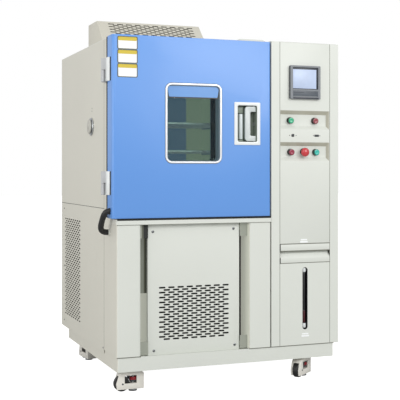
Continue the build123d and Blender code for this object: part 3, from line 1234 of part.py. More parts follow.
def levelling_foot():
    """Pad, screw and notched thumbwheel of the levelling foot."""
    foot = rod_z(0, FOOT_T, FOOT_X, 0, FOOT_R)
    foot = chamfer(foot.faces().sort_by(Axis.Z)[-1].edges(), FOOT_T / 3)
    foot += rod_z(FOOT_T, FOOT_STEM_TOP, FOOT_X, 0, FOOT_STEM_R)
    dial = rod_z(DIAL_Z, DIAL_Z + DIAL_T, FOOT_X, 0, DIAL_R)
    for notch in range(DIAL_NOTCHES):
        angle = radians(notch * 360 / DIAL_NOTCHES)
        dial -= rod_z(DIAL_Z, DIAL_Z + DIAL_T, FOOT_X + DIAL_R * cos(angle), DIAL_R * sin(angle), DIAL_NOTCH_R)
    return foot + dial


def nodes():
    """Name and solid of every piece, in the body's own place."""
    yield "base_frame", base_frame()
    yield "front_frame", front_frame()
    yield "upper_side_panel", upper_side_panel()
    yield "lower_side_panel", lower_side_panel()
    yield "right_side_panel", right_side_panel()
    yield "rear_panel", rear_panel()
    yield "rear_vent_panel", rear_vent_panel()
    yield "roof_panel", roof_panel()
    yield "fan_cowl", fan_cowl()
    yield "front_vent_panel", front_vent_panel()
    yield "chamber_liner", chamber_liner()
    yield "insulation", insulation()
    yield "column_post", column_post()
    yield "control_fascia", control_fascia()
    yield "fascia_fittings", fascia_fittings()
    yield "controller", controller()
    yield "gauge_panel", gauge_panel()
    yield "sight_gauge", sight_gauge()
    yield "drawer_runners", drawer_runners()
    yield "water_tank", water_tank()
    yield "compressor", compressor()
    yield "condenser", condenser()
    yield "air_baffle", air_baffle()
    yield "evaporator_coil", evaporator_coil()
    yield "fan_motor", fan_motor()
    yield "port_flange", port_flange()
    yield "body_hinge_leaves", body_hinge_leaves()
    yield "door_shell", door_shell()
    yield "door_plug", door_plug()
    yield "door_gasket", door_gasket()
    yield "window_trim", window_trim()
    yield "window_glass", window_glass()
    yield "door_hinge_leaves", door_hinge_leaves()
    yield "latch_housing", latch_housing()
    yield "latch_lever", latch_lever()
    yield "latch_bolt", latch_bolt()
    yield "door_conduit", door_conduit()
    yield "fill_drawer", fill_drawer()
    yield "port_plug", port_plug()
    yield "circulation_fan", circulation_fan()
    yield "condenser_fan", condenser_fan()
    for name, (x, z) in button_sites().items():
        yield f"button_{name}", push_button(x, z)
    yield "emergency_stop", stop_button()
    for name, height in zip(("shelf_lower", "shelf_upper"), SHELF_HEIGHTS):
        yield name, shelf(height)
    for site in CASTER_SITES:
        yield f"caster_housing_{site}", caster_place(site) * caster_housing()
        yield f"caster_wheel_{site}", caster_place(site) * caster_wheel()
        yield f"levelling_foot_{site}", caster_place(site) * levelling_foot()


def main():
    os.makedirs("parts", exist_ok=True)
    for name, solid in nodes():
        export_step(TO_ORIGIN * solid, os.path.join("parts", f"{name}.step"))


if __name__ == "__main__":
    main()
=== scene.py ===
"""Environmental test chamber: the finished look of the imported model.

Sizes are millimetres from the body's left front corner at floor level, the same lines as the CAD model. The
pieces are moved to the frame's metres when they are finished.
"""
from __future__ import annotations

import logging
import math
from contextlib import contextmanager
from dataclasses import dataclass, field, replace
from enum import Enum
from typing import Callable, Iterable, Iterator, Optional, Sequence

import bmesh
import bpy
from bmesh.types import BMEdge, BMesh, BMFace, BMVert
from mathutils import Matrix, Vector


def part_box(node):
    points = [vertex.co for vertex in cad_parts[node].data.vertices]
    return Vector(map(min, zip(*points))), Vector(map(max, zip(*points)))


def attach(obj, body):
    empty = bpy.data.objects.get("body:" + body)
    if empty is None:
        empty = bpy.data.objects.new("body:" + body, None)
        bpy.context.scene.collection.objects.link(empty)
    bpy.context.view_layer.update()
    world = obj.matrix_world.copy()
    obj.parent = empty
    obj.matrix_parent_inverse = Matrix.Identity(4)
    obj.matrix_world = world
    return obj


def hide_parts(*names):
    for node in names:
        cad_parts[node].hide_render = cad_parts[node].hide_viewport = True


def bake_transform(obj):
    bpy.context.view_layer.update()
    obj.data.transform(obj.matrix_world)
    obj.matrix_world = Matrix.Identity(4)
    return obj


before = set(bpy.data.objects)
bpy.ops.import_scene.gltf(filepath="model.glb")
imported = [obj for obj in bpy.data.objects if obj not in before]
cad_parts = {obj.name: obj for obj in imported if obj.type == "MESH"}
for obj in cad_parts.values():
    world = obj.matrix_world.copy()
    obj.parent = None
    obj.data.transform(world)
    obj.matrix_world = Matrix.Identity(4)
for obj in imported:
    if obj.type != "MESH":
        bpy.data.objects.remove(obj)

LOG = logging.getLogger("test_chamber")
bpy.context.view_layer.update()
Point = tuple[float, float, float]
Profile = tuple[tuple[float, float], ...]

COAT_ROUGH = 0.12
PANE_INDEX = 1.2
MERGE = 0.001
NODE_MERGE = 0.01


class Axis(Enum):
    """Direction that a round or flat shape faces, as a turn from the upright one."""

    X = Matrix.Rotation(math.radians(90), 4, "Y")
    Y = Matrix.Rotation(math.radians(-90), 4, "X")
    Z = Matrix.Identity(4)

    def unit(self) -> Vector:
        """The axis as a vector."""
        return (self.value @ Vector((0, 0, 1))).normalized()


class Surface(Enum):
    """Fine surface of a finish: noise scale, stretch along each axis, and bump height in metres."""

    ENAMEL = (420.0, (1, 1, 1), 0.00003)
    MOULDED = (1500.0, (1, 1, 1), 0.00004)
    BRUSHED = (260.0, (1, 1, 40), 0.00003)
    SATIN = (800.0, (1, 1, 1), 0.00001)
    CAST = (700.0, (1, 1, 1), 0.00012)
    FOAM = (300.0, (1, 1, 1), 0.0006)
    SMOOTH = (60.0, (1, 1, 1), 0.0)


def linear(code: str) -> tuple[float, float, float, float]:
    """Turns a web colour into the linear values that shaders take.

    Args:
        code: colour as six hexadecimal digits.

    Returns:
        Red, green, blue and an alpha of one.
    """
    parts = [int(code[i:i + 2], 16) / 255 for i in (0, 2, 4)]
    red, green, blue = ((c / 12.92) if c <= 0.04045 else ((c + 0.055) / 1.055) ** 2.4 for c in parts)
    return red, green, blue, 1.0


def shaded(code: str, share: float) -> str:
    """Darkens a web colour.

    Args:
        code: colour as six hexadecimal digits.
        share: how much of it stays, from 0 to 1.

    Returns:
        The darker colour in the same form.
    """
    return "".join(f"{round(int(code[i:i + 2], 16) * share):02x}" for i in (0, 2, 4))


@dataclass(frozen=True)
class Finish:
    """One finish of the object, with its colour variation, fine surface and gloss.

    Attributes:
        name: maker's name of the finish.
        slot: material slot of the record that it refines.
        colour: main colour.
        surface: fine surface.
        rough: mean roughness.
        metal: share of metal.
        shade: how far the colour wanders from its mean.
        patch: scale of that wandering, per metre.
        coat: weight of the clear coat.
        through: share of light that passes.
        glow: strength of the light it gives off.
    """

    name: str
    slot: str
    colour: str
    surface: Surface = Surface.ENAMEL
    rough: float = 0.45
    metal: float = 0.0
    shade: float = 0.04
    patch: float = 5.0
    coat: float = 0.0
    through: float = 0.0
    glow: float = 0.0

    def material(self) -> bpy.types.Material:
        """Makes the material on first use.

        Returns:
            The material of this finish.
        """
        found = bpy.data.materials.get(self.name)
        if found:
            return found
        made = bpy.data.materials.new(self.name)
        made.use_nodes = True
        tree = made.node_tree
        shader = tree.nodes["Principled BSDF"]
        place = tree.nodes.new("ShaderNodeTexCoord")
        self._tone(tree, shader, place)
        self._surface(tree, shader, place)
        shader.inputs["Metallic"].default_value = self.metal
        shader.inputs["Coat Weight"].default_value = self.coat
        shader.inputs["Coat Roughness"].default_value = COAT_ROUGH
        shader.inputs["Transmission Weight"].default_value = self.through
        if self.through:
            shader.inputs["IOR"].default_value = PANE_INDEX
        if self.glow:
            shader.inputs["Emission Color"].default_value = linear(self.colour)
            shader.inputs["Emission Strength"].default_value = self.glow
        return made

    def _tone(self, tree: bpy.types.NodeTree, shader: bpy.types.Node, place: bpy.types.Node) -> None:
        """Links a slow wander between a darker and a lighter tone to the colour."""
        noise = tree.nodes.new("ShaderNodeTexNoise")
        noise.inputs["Scale"].default_value = self.patch
        noise.inputs["Detail"].default_value = 3.0
        ramp = tree.nodes.new("ShaderNodeValToRGB")
        base = linear(self.colour)
        for stop, factor in zip(ramp.color_ramp.elements, (1 - self.shade, 1 + self.shade)):
            stop.color = tuple(min(1.0, c * factor) for c in base[:3]) + (1.0,)
        ramp.color_ramp.elements[0].position = 0.3
        ramp.color_ramp.elements[1].position = 0.7
        tree.links.new(place.outputs["Object"], noise.inputs["Vector"])
        tree.links.new(noise.outputs["Fac"], ramp.inputs["Fac"])
        tree.links.new(ramp.outputs["Color"], shader.inputs["Base Color"])

    def _surface(self, tree: bpy.types.NodeTree, shader: bpy.types.Node, place: bpy.types.Node) -> None:
        """Links the fine surface to the roughness and, where it has height, to the normal."""
        scale, stretch, height = self.surface.value
        mapping = tree.nodes.new("ShaderNodeMapping")
        mapping.inputs["Scale"].default_value = tuple(1.0 / s for s in stretch)
        noise = tree.nodes.new("ShaderNodeTexNoise")
        noise.inputs["Scale"].default_value = scale
        noise.inputs["Detail"].default_value = 4.0
        spread = tree.nodes.new("ShaderNodeMapRange")
        spread.inputs["To Min"].default_value = max(0.02, self.rough * 0.85)
        spread.inputs["To Max"].default_value = min(1.0, self.rough * 1.15)
        tree.links.new(place.outputs["Object"], mapping.inputs["Vector"])
        tree.links.new(mapping.outputs["Vector"], noise.inputs["Vector"])
        tree.links.new(noise.outputs["Fac"], spread.inputs["Value"])
        tree.links.new(spread.outputs["Result"], shader.inputs["Roughness"])
        if height:
            bump = tree.nodes.new("ShaderNodeBump")
            bump.inputs["Strength"].default_value = 0.6
            bump.inputs["Distance"].default_value = height
            tree.links.new(noise.outputs["Fac"], bump.inputs["Height"])
            tree.links.new(bump.outputs["Normal"], shader.inputs["Normal"])


ENAMEL = Finish("body_enamel", "body_paint", "d3d6cf", rough=0.42, shade=0.015, patch=2.0)
# Left-facing body faces: painted shade, a darker and warmer copy of the body enamel.
ENAMEL_SHADED_SIDE = Finish("side_enamel_painted_shade", "body_paint", "d0cec3", rough=0.45, shade=0.015, patch=2.0)
# Roof cowl: painted shade, a darker copy of the body enamel.
ENAMEL_COWL_SHADE = Finish("cowl_enamel_painted_shade", "body_paint", "c6c3b6", rough=0.45, shade=0.015, patch=2.0)
BLUE = Finish("door_enamel", "door_blue", "6095dc", rough=0.36, shade=0.02, patch=1.2, coat=0.2)
WHITE = Finish("white_enamel", "latch_white", "dfe3e3", rough=0.3, shade=0.02, coat=0.2)
LEVER = Finish("lever_enamel", "latch_white", "c3cac9", rough=0.32, shade=0.02, coat=0.2)
# Lever flanks: painted shade, a darker copy of the lever's white.
LEVER_FLANK_SHADE = Finish("lever_flank_painted_shade", "latch_white", "a3aeae", rough=0.32, shade=0.02, coat=0.2)
# Knuckles and body leaves of the white hinges, painted grey as shade.
HINGE_SHADE = Finish("hinge_enamel_painted_shade", "hinge_white", "b4b6b8", rough=0.3, shade=0.03, coat=0.2)
# Inside of the latch pocket: painted shade on the white moulding.
POCKET_SHADE = Finish("pocket_painted_shade", "latch_white", "828d81", Surface.SATIN, rough=0.4, shade=0.05)
ROLLER = Finish("roller_grey", "latch_white", "d5dedf", rough=0.3, shade=0.03, coat=0.2)
TRIM = Finish("polished_trim", "bright_trim", "e8eaec", Surface.BRUSHED, rough=0.25, metal=0.35, shade=0.04)
STEEL = Finish("satin_steel", "stainless", "b9bcbe", Surface.BRUSHED, rough=0.32, metal=1.0, shade=0.06)
# Chamber liner and door plug: a slate tone that glows, painted light in place of a lamp inside the chamber.
LINER_GLOW = Finish("liner_steel_painted_glow", "stainless", "5d6c76", Surface.SATIN, rough=0.6, shade=0.05, glow=0.45)
# Rear baffle: glowing painted reflections, a dim slate one and a bright green-grey one.
BAFFLE_DIM_REFLECTION = Finish("baffle_painted_dim_reflection", "stainless", "485b6e", Surface.SATIN, rough=0.6, shade=0.05, glow=0.9)
BAFFLE_BRIGHT_REFLECTION = Finish("baffle_painted_bright_reflection", "stainless", "3c443c", Surface.SATIN, rough=0.6, shade=0.05, glow=3.3)
# Shelf racks: satin steel with a faint glow, painted light.
RACK_GLOW = Finish("rack_steel_painted_glow", "stainless", "c6ced0", Surface.SATIN, rough=0.4, metal=0.3, shade=0.05, glow=0.1)
ZINC = Finish("zinc_plate", "zinc", "a9acae", Surface.CAST, rough=0.38, metal=0.9, shade=0.12, patch=40.0)
SCREW = Finish("screw_steel", "zinc", "8d9092", Surface.BRUSHED, rough=0.35, metal=1.0, shade=0.1,
               patch=200.0)
# Dark screws and fittings; also the dark cross on every screw head, painted shade of its recess.
DARK_SCREW = Finish("dark_screw", "black_plastic", "3c3d3c", Surface.CAST, rough=0.45, metal=0.6, shade=0.1)
FINS = Finish("fin_aluminium", "fin_stock", "b5b9bb", Surface.BRUSHED, rough=0.4, metal=0.9, shade=0.1)
IRON = Finish("pot_black", "black_iron", "1c1d1e", Surface.CAST, rough=0.5, shade=0.15, patch=12.0)
MOTOR = Finish("motor_enamel", "motor_grey", "5a5f62", Surface.CAST, rough=0.5, shade=0.08)
FOAM = Finish("wool_foam", "foam", "4a4b47", Surface.FOAM, rough=0.95, shade=0.1, patch=30.0)
COIL = Finish("coil_plate", "fin_stock", "a2a496", Surface.CAST, rough=0.5, metal=0.2, shade=0.06)
SEAM = Finish("joint_shadow", "black_rubber", "6b6c62", Surface.SMOOTH, rough=0.8, shade=0.05)
GAP = Finish("gap_shadow", "black_rubber", "2a2c2a", Surface.SMOOTH, rough=0.8, shade=0.05)
# Slopes of the fascia's recesses: painted shade, a darker copy of the body enamel.
RECESS_SLOPE_SHADE = Finish("recess_slope_painted_shade", "body_paint", "b6b4a5", rough=0.45, shade=0.015, patch=2.0)
BLACK = Finish("black_moulding", "black_plastic", "1b1c1e", Surface.MOULDED, rough=0.45, shade=0.1)
GREY = Finish("grey_moulding", "black_plastic", "797d82", Surface.MOULDED, rough=0.42, shade=0.05)
DARK_GREY = Finish("dark_moulding", "black_plastic", "3e4246", Surface.MOULDED, rough=0.4, shade=0.05)
BEZEL = Finish("inner_bezel", "black_plastic", "2c3039", Surface.MOULDED, rough=0.4, shade=0.05)
SLATE = Finish("key_panel", "black_plastic", "4f565e", Surface.MOULDED, rough=0.42, shade=0.05)
KEYS = Finish("key_cap", "black_plastic", "8e9296", Surface.MOULDED, rough=0.5, shade=0.05)
RUBBER = Finish("seal_rubber", "black_rubber", "232427", Surface.MOULDED, rough=0.75, shade=0.12, patch=20.0)
HOSE = Finish("hose_black", "conduit_black", "17181a", Surface.MOULDED, rough=0.5, shade=0.12, patch=30.0)
STOPPER = Finish("stopper_grey", "plug_grey", "b9b8b0", Surface.MOULDED, rough=0.6, shade=0.06)
FAN = Finish("fan_moulding", "fan_black", "202224", Surface.MOULDED, rough=0.5, shade=0.1)
GREEN = Finish("green_lens", "green_cap", "18a376", Surface.SMOOTH, rough=0.22, shade=0.05, coat=0.4)
TEAL = Finish("teal_lens", "green_cap", "2fb3a4", Surface.SMOOTH, rough=0.22, shade=0.05, coat=0.4)
RED = Finish("red_lens", "red_cap", "8c343d", Surface.SMOOTH, rough=0.24, shade=0.05, coat=0.4)
CRIMSON = Finish("crimson_lens", "red_cap", "90253f", Surface.SMOOTH, rough=0.24, shade=0.05, coat=0.4)
STOP_RED = Finish("stop_red", "red_cap", "c0343b", Surface.SMOOTH, rough=0.28, shade=0.05, coat=0.4)
CREAM = Finish("cream_moulding", "caster_cream", "dddad2", Surface.MOULDED, rough=0.38, shade=0.04, coat=0.1)
NYLON = Finish("wheel_nylon", "wheel_black", "1d1d1d", Surface.MOULDED, rough=0.5, shade=0.12, patch=60.0)
DIAL = Finish("dial_red", "red_cap", "8e1f26", Surface.MOULDED, rough=0.4, shade=0.08)
GLASS = Finish("pane_glass", "pane", "e4eeea", Surface.SMOOTH, rough=0.02, shade=0.01, through=1.0)
CLEAR = Finish("gauge_glass", "clear_tube", "e4ecee", Surface.SMOOTH, rough=0.05, shade=0.01, through=0.9)
# Black frit printed on the panes; also the strip on the sill under the door, which is painted shade.
BLACK_FRIT_AND_SHADE = Finish("black_frit_and_painted_shade", "pane", "15171b", Surface.SMOOTH, rough=0.2, shade=0.05)
BAND = Finish("blue_band", "pane", "5e93d2", Surface.SMOOTH, rough=0.25, shade=0.03, patch=8.0)
PAPER = Finish("card_white", "latch_white", "eff1f1", Surface.SMOOTH, rough=0.55, shade=0.02)
YELLOW = Finish("card_yellow", "latch_white", "cdb63a", Surface.SMOOTH, rough=0.5, shade=0.05)
OLIVE = Finish("card_edge", "latch_white", "5e5c35", Surface.SMOOTH, rough=0.5, shade=0.05)
SCREEN = Finish("lit_screen", "black_plastic", "b4c2dc", Surface.SMOOTH, rough=0.36, shade=0.1, patch=14.0,
                glow=0.12)
WATER = Finish("water_column", "clear_tube", "46191f", Surface.SMOOTH, rough=0.3, shade=0.45, patch=90.0)
FILTER = Finish("filter_mat", "foam", "1f201e", Surface.FOAM, rough=0.95, shade=0.1, patch=30.0)
# Tones inside the gaps beside the vent panel: painted shade in darker bands, and a glow that stands in for
# bounce light.
RAIL = Finish("rail_shade", "body_paint", "45473d", rough=0.6, shade=0.03, glow=0.8)
JAMB_LIGHT_GLOW = Finish("gap_wall_painted_light", "body_paint", "a1a398", rough=0.6, shade=0.02, glow=0.82)
JAMB_SHADE_GLOW = Finish("gap_wall_painted_shade_glow", "body_paint", "70736a", rough=0.6, shade=0.02, glow=0.85)
COWL_DARK = Finish("cowl_screen", "foam", "6f6a61", Surface.FOAM, rough=0.9, shade=0.08, patch=30.0)


@dataclass(frozen=True)
class Datum:
    """The body's left front corner at floor level, in the frame's metres."""

    x: float
    y: float

    @classmethod
    def read(cls) -> "Datum":
        """Takes the corner from the side panel's face and the fascia's face."""
        return cls(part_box("upper_side_panel")[0].x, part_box("control_fascia")[0].y)

    def to_frame(self) -> Matrix:
        """Matrix from millimetres at the corner to the frame's metres."""
        return Matrix.Translation((self.x, self.y, 0)) @ Matrix.Scale(0.001, 4)

    def point(self, x: float, y: float, z: float) -> Vector:
        """One place in the frame's metres."""
        return self.to_frame() @ Vector((x, y, z))


DATUM = Datum.read()


def round_edges(bm: BMesh, edges: Iterable[BMEdge], radius: float, steps: int = 2) -> None:
    """Bevels edges into a round.

    Args:
        bm: mesh that holds the edges.
        edges: edges to round.
        radius: width of the bevel.
        steps: segments across it.
    """
    bmesh.ops.bevel(bm, geom=list(edges), offset=radius, offset_type="OFFSET", segments=steps, profile=0.5,
                    affect="EDGES", clamp_overlap=True, material=-1)


def sharp_edges(bm: BMesh, angle: float = 30.0) -> list[BMEdge]:
    """Edges whose faces meet at more than an angle, in degrees."""
    limit = math.radians(angle)
    return [e for e in bm.edges if len(e.link_faces) == 2 and e.calc_face_angle(0.0) > limit]


def edges_along(bm: BMesh, axis: int, test: Optional[Sequence[tuple[int, float]]] = None) -> list[BMEdge]:
    """Straight edges that run along one axis, near given coordinates.

    Args:
        bm: mesh to search.
        axis: 0, 1 or 2 for the direction.
        test: pairs of axis and coordinate that the edge has to lie at.

    Returns:
        The edges found.
    """
    found = []
    for edge in bm.edges:
        a, b = (v.co for v in edge.verts)
        run = b - a
        if run.length < 1e-6 or abs(run[axis]) < 0.999 * run.length:
            continue
        if all(abs(a[i] - value) < 0.05 for i, value in test or ()):
            found.append(edge)
    return found


def cube(bm: BMesh, low: Point, high: Point) -> list[BMVert]:
    """Adds a box between two corners and returns its vertices."""
    verts = bmesh.ops.create_cube(bm, size=1.0)["verts"]
    a, b = Vector(low), Vector(high)
    bmesh.ops.scale(bm, vec=b - a, verts=verts)
    bmesh.ops.translate(bm, vec=(a + b) / 2, verts=verts)
    return verts


def rounded_face(bm: BMesh, centre: Point, width: float, height: float, radius: float, axis: Axis = Axis.Y,
                 steps: int = 6) -> BMFace:
    """Adds one flat face with round corners.

    Args:
        bm: mesh to add to.
        centre: middle of the face.
        width: size along X, or along Y where it faces X.
        height: size along Z, or along Y where it faces Z.
        radius: corner radius.
        axis: direction it faces.
        steps: segments in each corner.

    Returns:
        The face.
    """
    verts = bmesh.ops.create_grid(bm, x_segments=1, y_segments=1, size=0.5)["verts"]
    face = verts[0].link_faces[0]
    swap = axis is Axis.X
    bmesh.ops.scale(bm, vec=(height if swap else width, width if swap else height, 1.0), verts=verts)
    if radius > 0:
        made = bmesh.ops.bevel(bm, geom=verts, offset=radius, offset_type="OFFSET", segments=steps,
                               profile=0.5, affect="VERTICES", clamp_overlap=True, material=-1)
        face = made["verts"][0].link_faces[0]
    bmesh.ops.transform(bm, matrix=Matrix.Translation(centre) @ axis.value, verts=list(face.verts))
    return face


def push(bm: BMesh, faces: Sequence[BMFace], vector: Point) -> list[BMFace]:
    """Extrudes a region of faces by a vector and returns its moved faces."""
    made = bmesh.ops.extrude_face_region(bm, geom=list(faces))["geom"]
    bmesh.ops.translate(bm, vec=Vector(vector), verts=[g for g in made if isinstance(g, BMVert)])
    return [g for g in made if isinstance(g, BMFace)]


def pierce(bm: BMesh, face: BMFace, loops: Sequence[BMEdge]) -> None:
    """Fills a flat face again with openings in it.

    Args:
        bm: mesh that holds the face.
        face: face to open.
        loops: edges of the openings, in the face's plane.
    """
    border = list(face.edges)
    bmesh.ops.delete(bm, geom=[face], context="FACES_ONLY")
    bmesh.ops.triangle_fill(bm, use_beauty=True, use_dissolve=False, edges=border + list(loops))


def opening(bm: BMesh, centre: Point, width: float, height: float, radius: float, axis: Axis = Axis.Y,
            steps: int = 4) -> list[BMEdge]:
    """Adds the edges of one opening with round corners, and no face, and returns them."""
    face = rounded_face(bm, centre, width, height, radius, axis, steps)
    edges = list(face.edges)
    bmesh.ops.delete(bm, geom=[face], context="FACES_ONLY")
    return edges


def hollow(bm: BMesh, face: BMFace, width: float) -> None:
    """Opens the middle of a flat face, so that a frame of a given width is left."""
    bmesh.ops.inset_region(bm, faces=[face], thickness=width, use_boundary=True, use_even_offset=True)
    bmesh.ops.delete(bm, geom=[face], context="FACES")


def open_side(bm: BMesh, direction: Point) -> None:
    """Takes away the faces that look one way."""
    bm.normal_update()
    gone = [f for f in bm.faces if f.normal.dot(Vector(direction)) > 0.9]
    bmesh.ops.delete(bm, geom=gone, context="FACES_ONLY")


def fold_back(bm: BMesh, edges: Sequence[BMEdge], depth: float, close: bool = False) -> None:
    """Folds open edges straight back.

    Args:
        bm: mesh that holds the edges.
        edges: edges to extrude.
        depth: how far they go, along Y.
        close: fills the far end.
    """
    made = bmesh.ops.extrude_edge_only(bm, edges=edges)["geom"]
    bmesh.ops.translate(bm, vec=(0, depth, 0), verts=[g for g in made if isinstance(g, BMVert)])
    if close:
        bmesh.ops.holes_fill(bm, edges=[g for g in made if isinstance(g, BMEdge)], sides=0)


def lathe(bm: BMesh, profile: Sequence[tuple[float, float]], steps: int) -> None:
    """Spins a profile, given as pairs of radius and height, about the upright axis."""
    verts = [bm.verts.new((r, 0, h)) for r, h in profile]
    edges = [bm.edges.new(pair) for pair in zip(verts, verts[1:])]
    bmesh.ops.spin(bm, geom=verts + edges, cent=(0, 0, 0), axis=(0, 0, 1), angle=math.tau, steps=steps,
                   use_merge=True, use_duplicate=False)


def sleeve(inner: float, outer: float, length: float) -> Profile:
    """Profile of a plain sleeve that starts at zero."""
    return (inner, 0), (outer, 0), (outer, length), (inner, length), (inner, 0)


def take_node(bm: BMesh, name: str) -> None:
    """Copies a CAD node's mesh, in the script's millimetres, and merges its doubles."""
    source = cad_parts[name]
    bm.from_mesh(source.data)
    bmesh.ops.transform(bm, matrix=DATUM.to_frame().inverted() @ source.matrix_world, verts=bm.verts)
    bmesh.ops.remove_doubles(bm, verts=bm.verts, dist=NODE_MERGE)


def staggered(columns: int, rows: int, pitch: float, row_gap: float) -> Iterator[tuple[float, float]]:
    """Slot centres of a grille whose odd rows are shifted by half a pitch and hold one slot less."""
    for row in range(rows):
        odd = row % 2
        for column in range(columns - odd):
            yield (column + odd / 2) * pitch, row * row_gap


class Draft:
    """A piece under way: shapes in millimetres that get their finishes as they are added."""

    def __init__(self, name: str) -> None:
        """Opens an empty piece."""
        self.name = name
        self.bm = bmesh.new()
        self.finishes: list[Finish] = []

    @contextmanager
    def shape(self, finish: Finish, clean: bool = True) -> Iterator[BMesh]:
        """Opens a fresh mesh that joins the piece, in one finish, when it closes.

        Args:
            finish: finish of every face in it.
            clean: merges doubles and points the faces outwards.

        Yields:
            The mesh to shape.
        """
        bm = bmesh.new()
        yield bm
        if clean:
            bmesh.ops.remove_doubles(bm, verts=bm.verts, dist=MERGE)
            bmesh.ops.recalc_face_normals(bm, faces=bm.faces)
        if finish not in self.finishes:
            self.finishes.append(finish)
        index = self.finishes.index(finish)
        for face in bm.faces:
            face.material_index = index
        scrap = bpy.data.meshes.new("scrap")
        bm.to_mesh(scrap)
        bm.free()
        self.bm.from_mesh(scrap)
        bpy.data.meshes.remove(scrap)

    def block(self, low: Point, high: Point, finish: Finish, radius: float = 0.6, steps: int = 2) -> None:
        """Adds a box with rounded edges."""
        with self.shape(finish) as bm:
            cube(bm, low, high)
            if radius:
                round_edges(bm, list(bm.edges), radius, steps)

    def disc(self, centre: Point, radius: float, length: float, finish: Finish, axis: Axis = Axis.Y,
             edge: float = 0.5, segments: int = 32) -> None:
        """Adds a round bar or disc with softened rims.

        Args:
            centre: middle of the bar.
            radius: radius of the bar.
            length: length along the axis.
            finish: its finish.
            axis: direction of the bar.
            edge: width of the rim's bevel.
            segments: faces around.
        """
        with self.shape(finish) as bm:
            bmesh.ops.create_cone(bm, cap_ends=True, cap_tris=False, segments=segments, radius1=radius,
                                  radius2=radius, depth=length)
            if edge:
                round_edges(bm, sharp_edges(bm), edge)
            bmesh.ops.transform(bm, matrix=Matrix.Translation(centre) @ axis.value, verts=bm.verts)

    def turned(self, centre: Point, profile: Sequence[tuple[float, float]], finish: Finish,
               axis: Axis = Axis.Y, steps: int = 40) -> None:
        """Adds a turned shape.

        Args:
            centre: where the profile's zero lies on the axis.
            profile: pairs of radius and distance along the axis, from one end to the other.
            finish: its finish.
            axis: axis that it is turned about.
            steps: faces around.
        """
        with self.shape(finish) as bm:
            lathe(bm, profile, steps)
            bmesh.ops.remove_doubles(bm, verts=bm.verts, dist=MERGE)
            bmesh.ops.transform(bm, matrix=Matrix.Translation(centre) @ axis.value, verts=bm.verts)

    def plate(self, centre: Point, width: float, height: float, radius: float, depth: float, finish: Finish,
              axis: Axis = Axis.Y, edge: float = 0.5, hole: float = 0.0, steps: int = 6) -> None:
        """Adds a plate with round corners, or a frame where a hole is left.

        Args:
            centre: middle of its first face.
            width: size along X, or along Y where it faces X.
            height: size along Z.
            radius: corner radius.
            depth: thickness, along the axis.
            finish: its finish.
            axis: direction of the thickness.
            edge: width of the rounding.
            hole: width of the frame's border, where it is one.
            steps: segments in each corner.
        """
        with self.shape(finish) as bm:
            face = rounded_face(bm, centre, width, height, radius, axis, steps)
            if hole:
                hollow(bm, face, hole)
            push(bm, list(bm.faces), axis.unit() * depth)
            bmesh.ops.recalc_face_normals(bm, faces=bm.faces)
            if edge:
                round_edges(bm, sharp_edges(bm, 50), edge)

    def screw(self, centre: Point, radius: float, finish: Finish = SCREW, axis: Axis = Axis.Y,
              outwards: int = -1) -> None:
        """Adds a pan head with a cross recess, drawn as a thin dark cross in painted shade.

        Args:
            centre: middle of the head's seat.
            radius: radius of the head.
            finish: its finish.
            axis: axis of the screw.
            outwards: side of the seat that the head stands on.
        """
        rise = radius * 0.45
        out = axis.unit() * outwards
        profile = ((radius, 0.0), (radius * 0.94, rise * 0.5), (radius * 0.6, rise * 0.92),
                   (radius * 0.3, rise))
        with self.shape(finish) as bm:
            lathe(bm, [(r, h * outwards) for r, h in profile], 16)
            bmesh.ops.holes_fill(bm, edges=bm.edges, sides=0)
            bmesh.ops.transform(bm, matrix=Matrix.Translation(centre) @ axis.value, verts=bm.verts)
        arm, width = radius * 0.55, radius * 0.16
        top = Vector(centre) + out * rise
        # The dark cross on the head stands for the recess: painted shade.
        for turn in (0, 90):
            with self.shape(DARK_SCREW) as bm:
                cube(bm, (-arm, -width, -0.15), (arm, width, 0.15))
                spin = Matrix.Rotation(math.radians(turn + 20), 4, "Z")
                bmesh.ops.transform(bm, matrix=Matrix.Translation(top) @ axis.value @ spin, verts=bm.verts)

    def repaint(self, finish: Finish, test: Callable[[BMFace], bool]) -> None:
        """Gives another finish to the faces that a test picks."""
        if finish not in self.finishes:
            self.finishes.append(finish)
        index = self.finishes.index(finish)
        self.bm.normal_update()
        for face in self.bm.faces:
            if test(face):
                face.material_index = index

    def turn(self, matrix: Matrix) -> None:
        """Moves all that the piece holds so far."""
        bmesh.ops.transform(self.bm, matrix=matrix, verts=self.bm.verts)

    def build(self, body: Optional[str], *nodes: str, smooth: float = 38.0) -> bpy.types.Object:
        """Finishes the piece and hands it to the frame.

        Args:
            body: CAD body that it rides on, or none for a piece that rides on no body.
            nodes: CAD nodes that it stands for.
            smooth: angle in degrees over which an edge stays sharp.

        Returns:
            The finished object.
        """
        limit = math.radians(smooth)
        bmesh.ops.transform(self.bm, matrix=DATUM.to_frame(), verts=self.bm.verts)
        for face in self.bm.faces:
            face.smooth = True
        for edge in self.bm.edges:
            edge.smooth = len(edge.link_faces) == 2 and edge.calc_face_angle(math.pi) < limit
        mesh = bpy.data.meshes.new(self.name)
        self.bm.to_mesh(mesh)
        self.bm.free()
        for finish in self.finishes:
            mesh.materials.append(finish.material())
        obj = bpy.data.objects.new(self.name, mesh)
        bpy.context.scene.collection.objects.link(obj)
        if body:
            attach(obj, body)
        if nodes:
            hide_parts(*nodes)
        LOG.info("%s: %d faces on %s", self.name, len(mesh.polygons), body)
        return obj


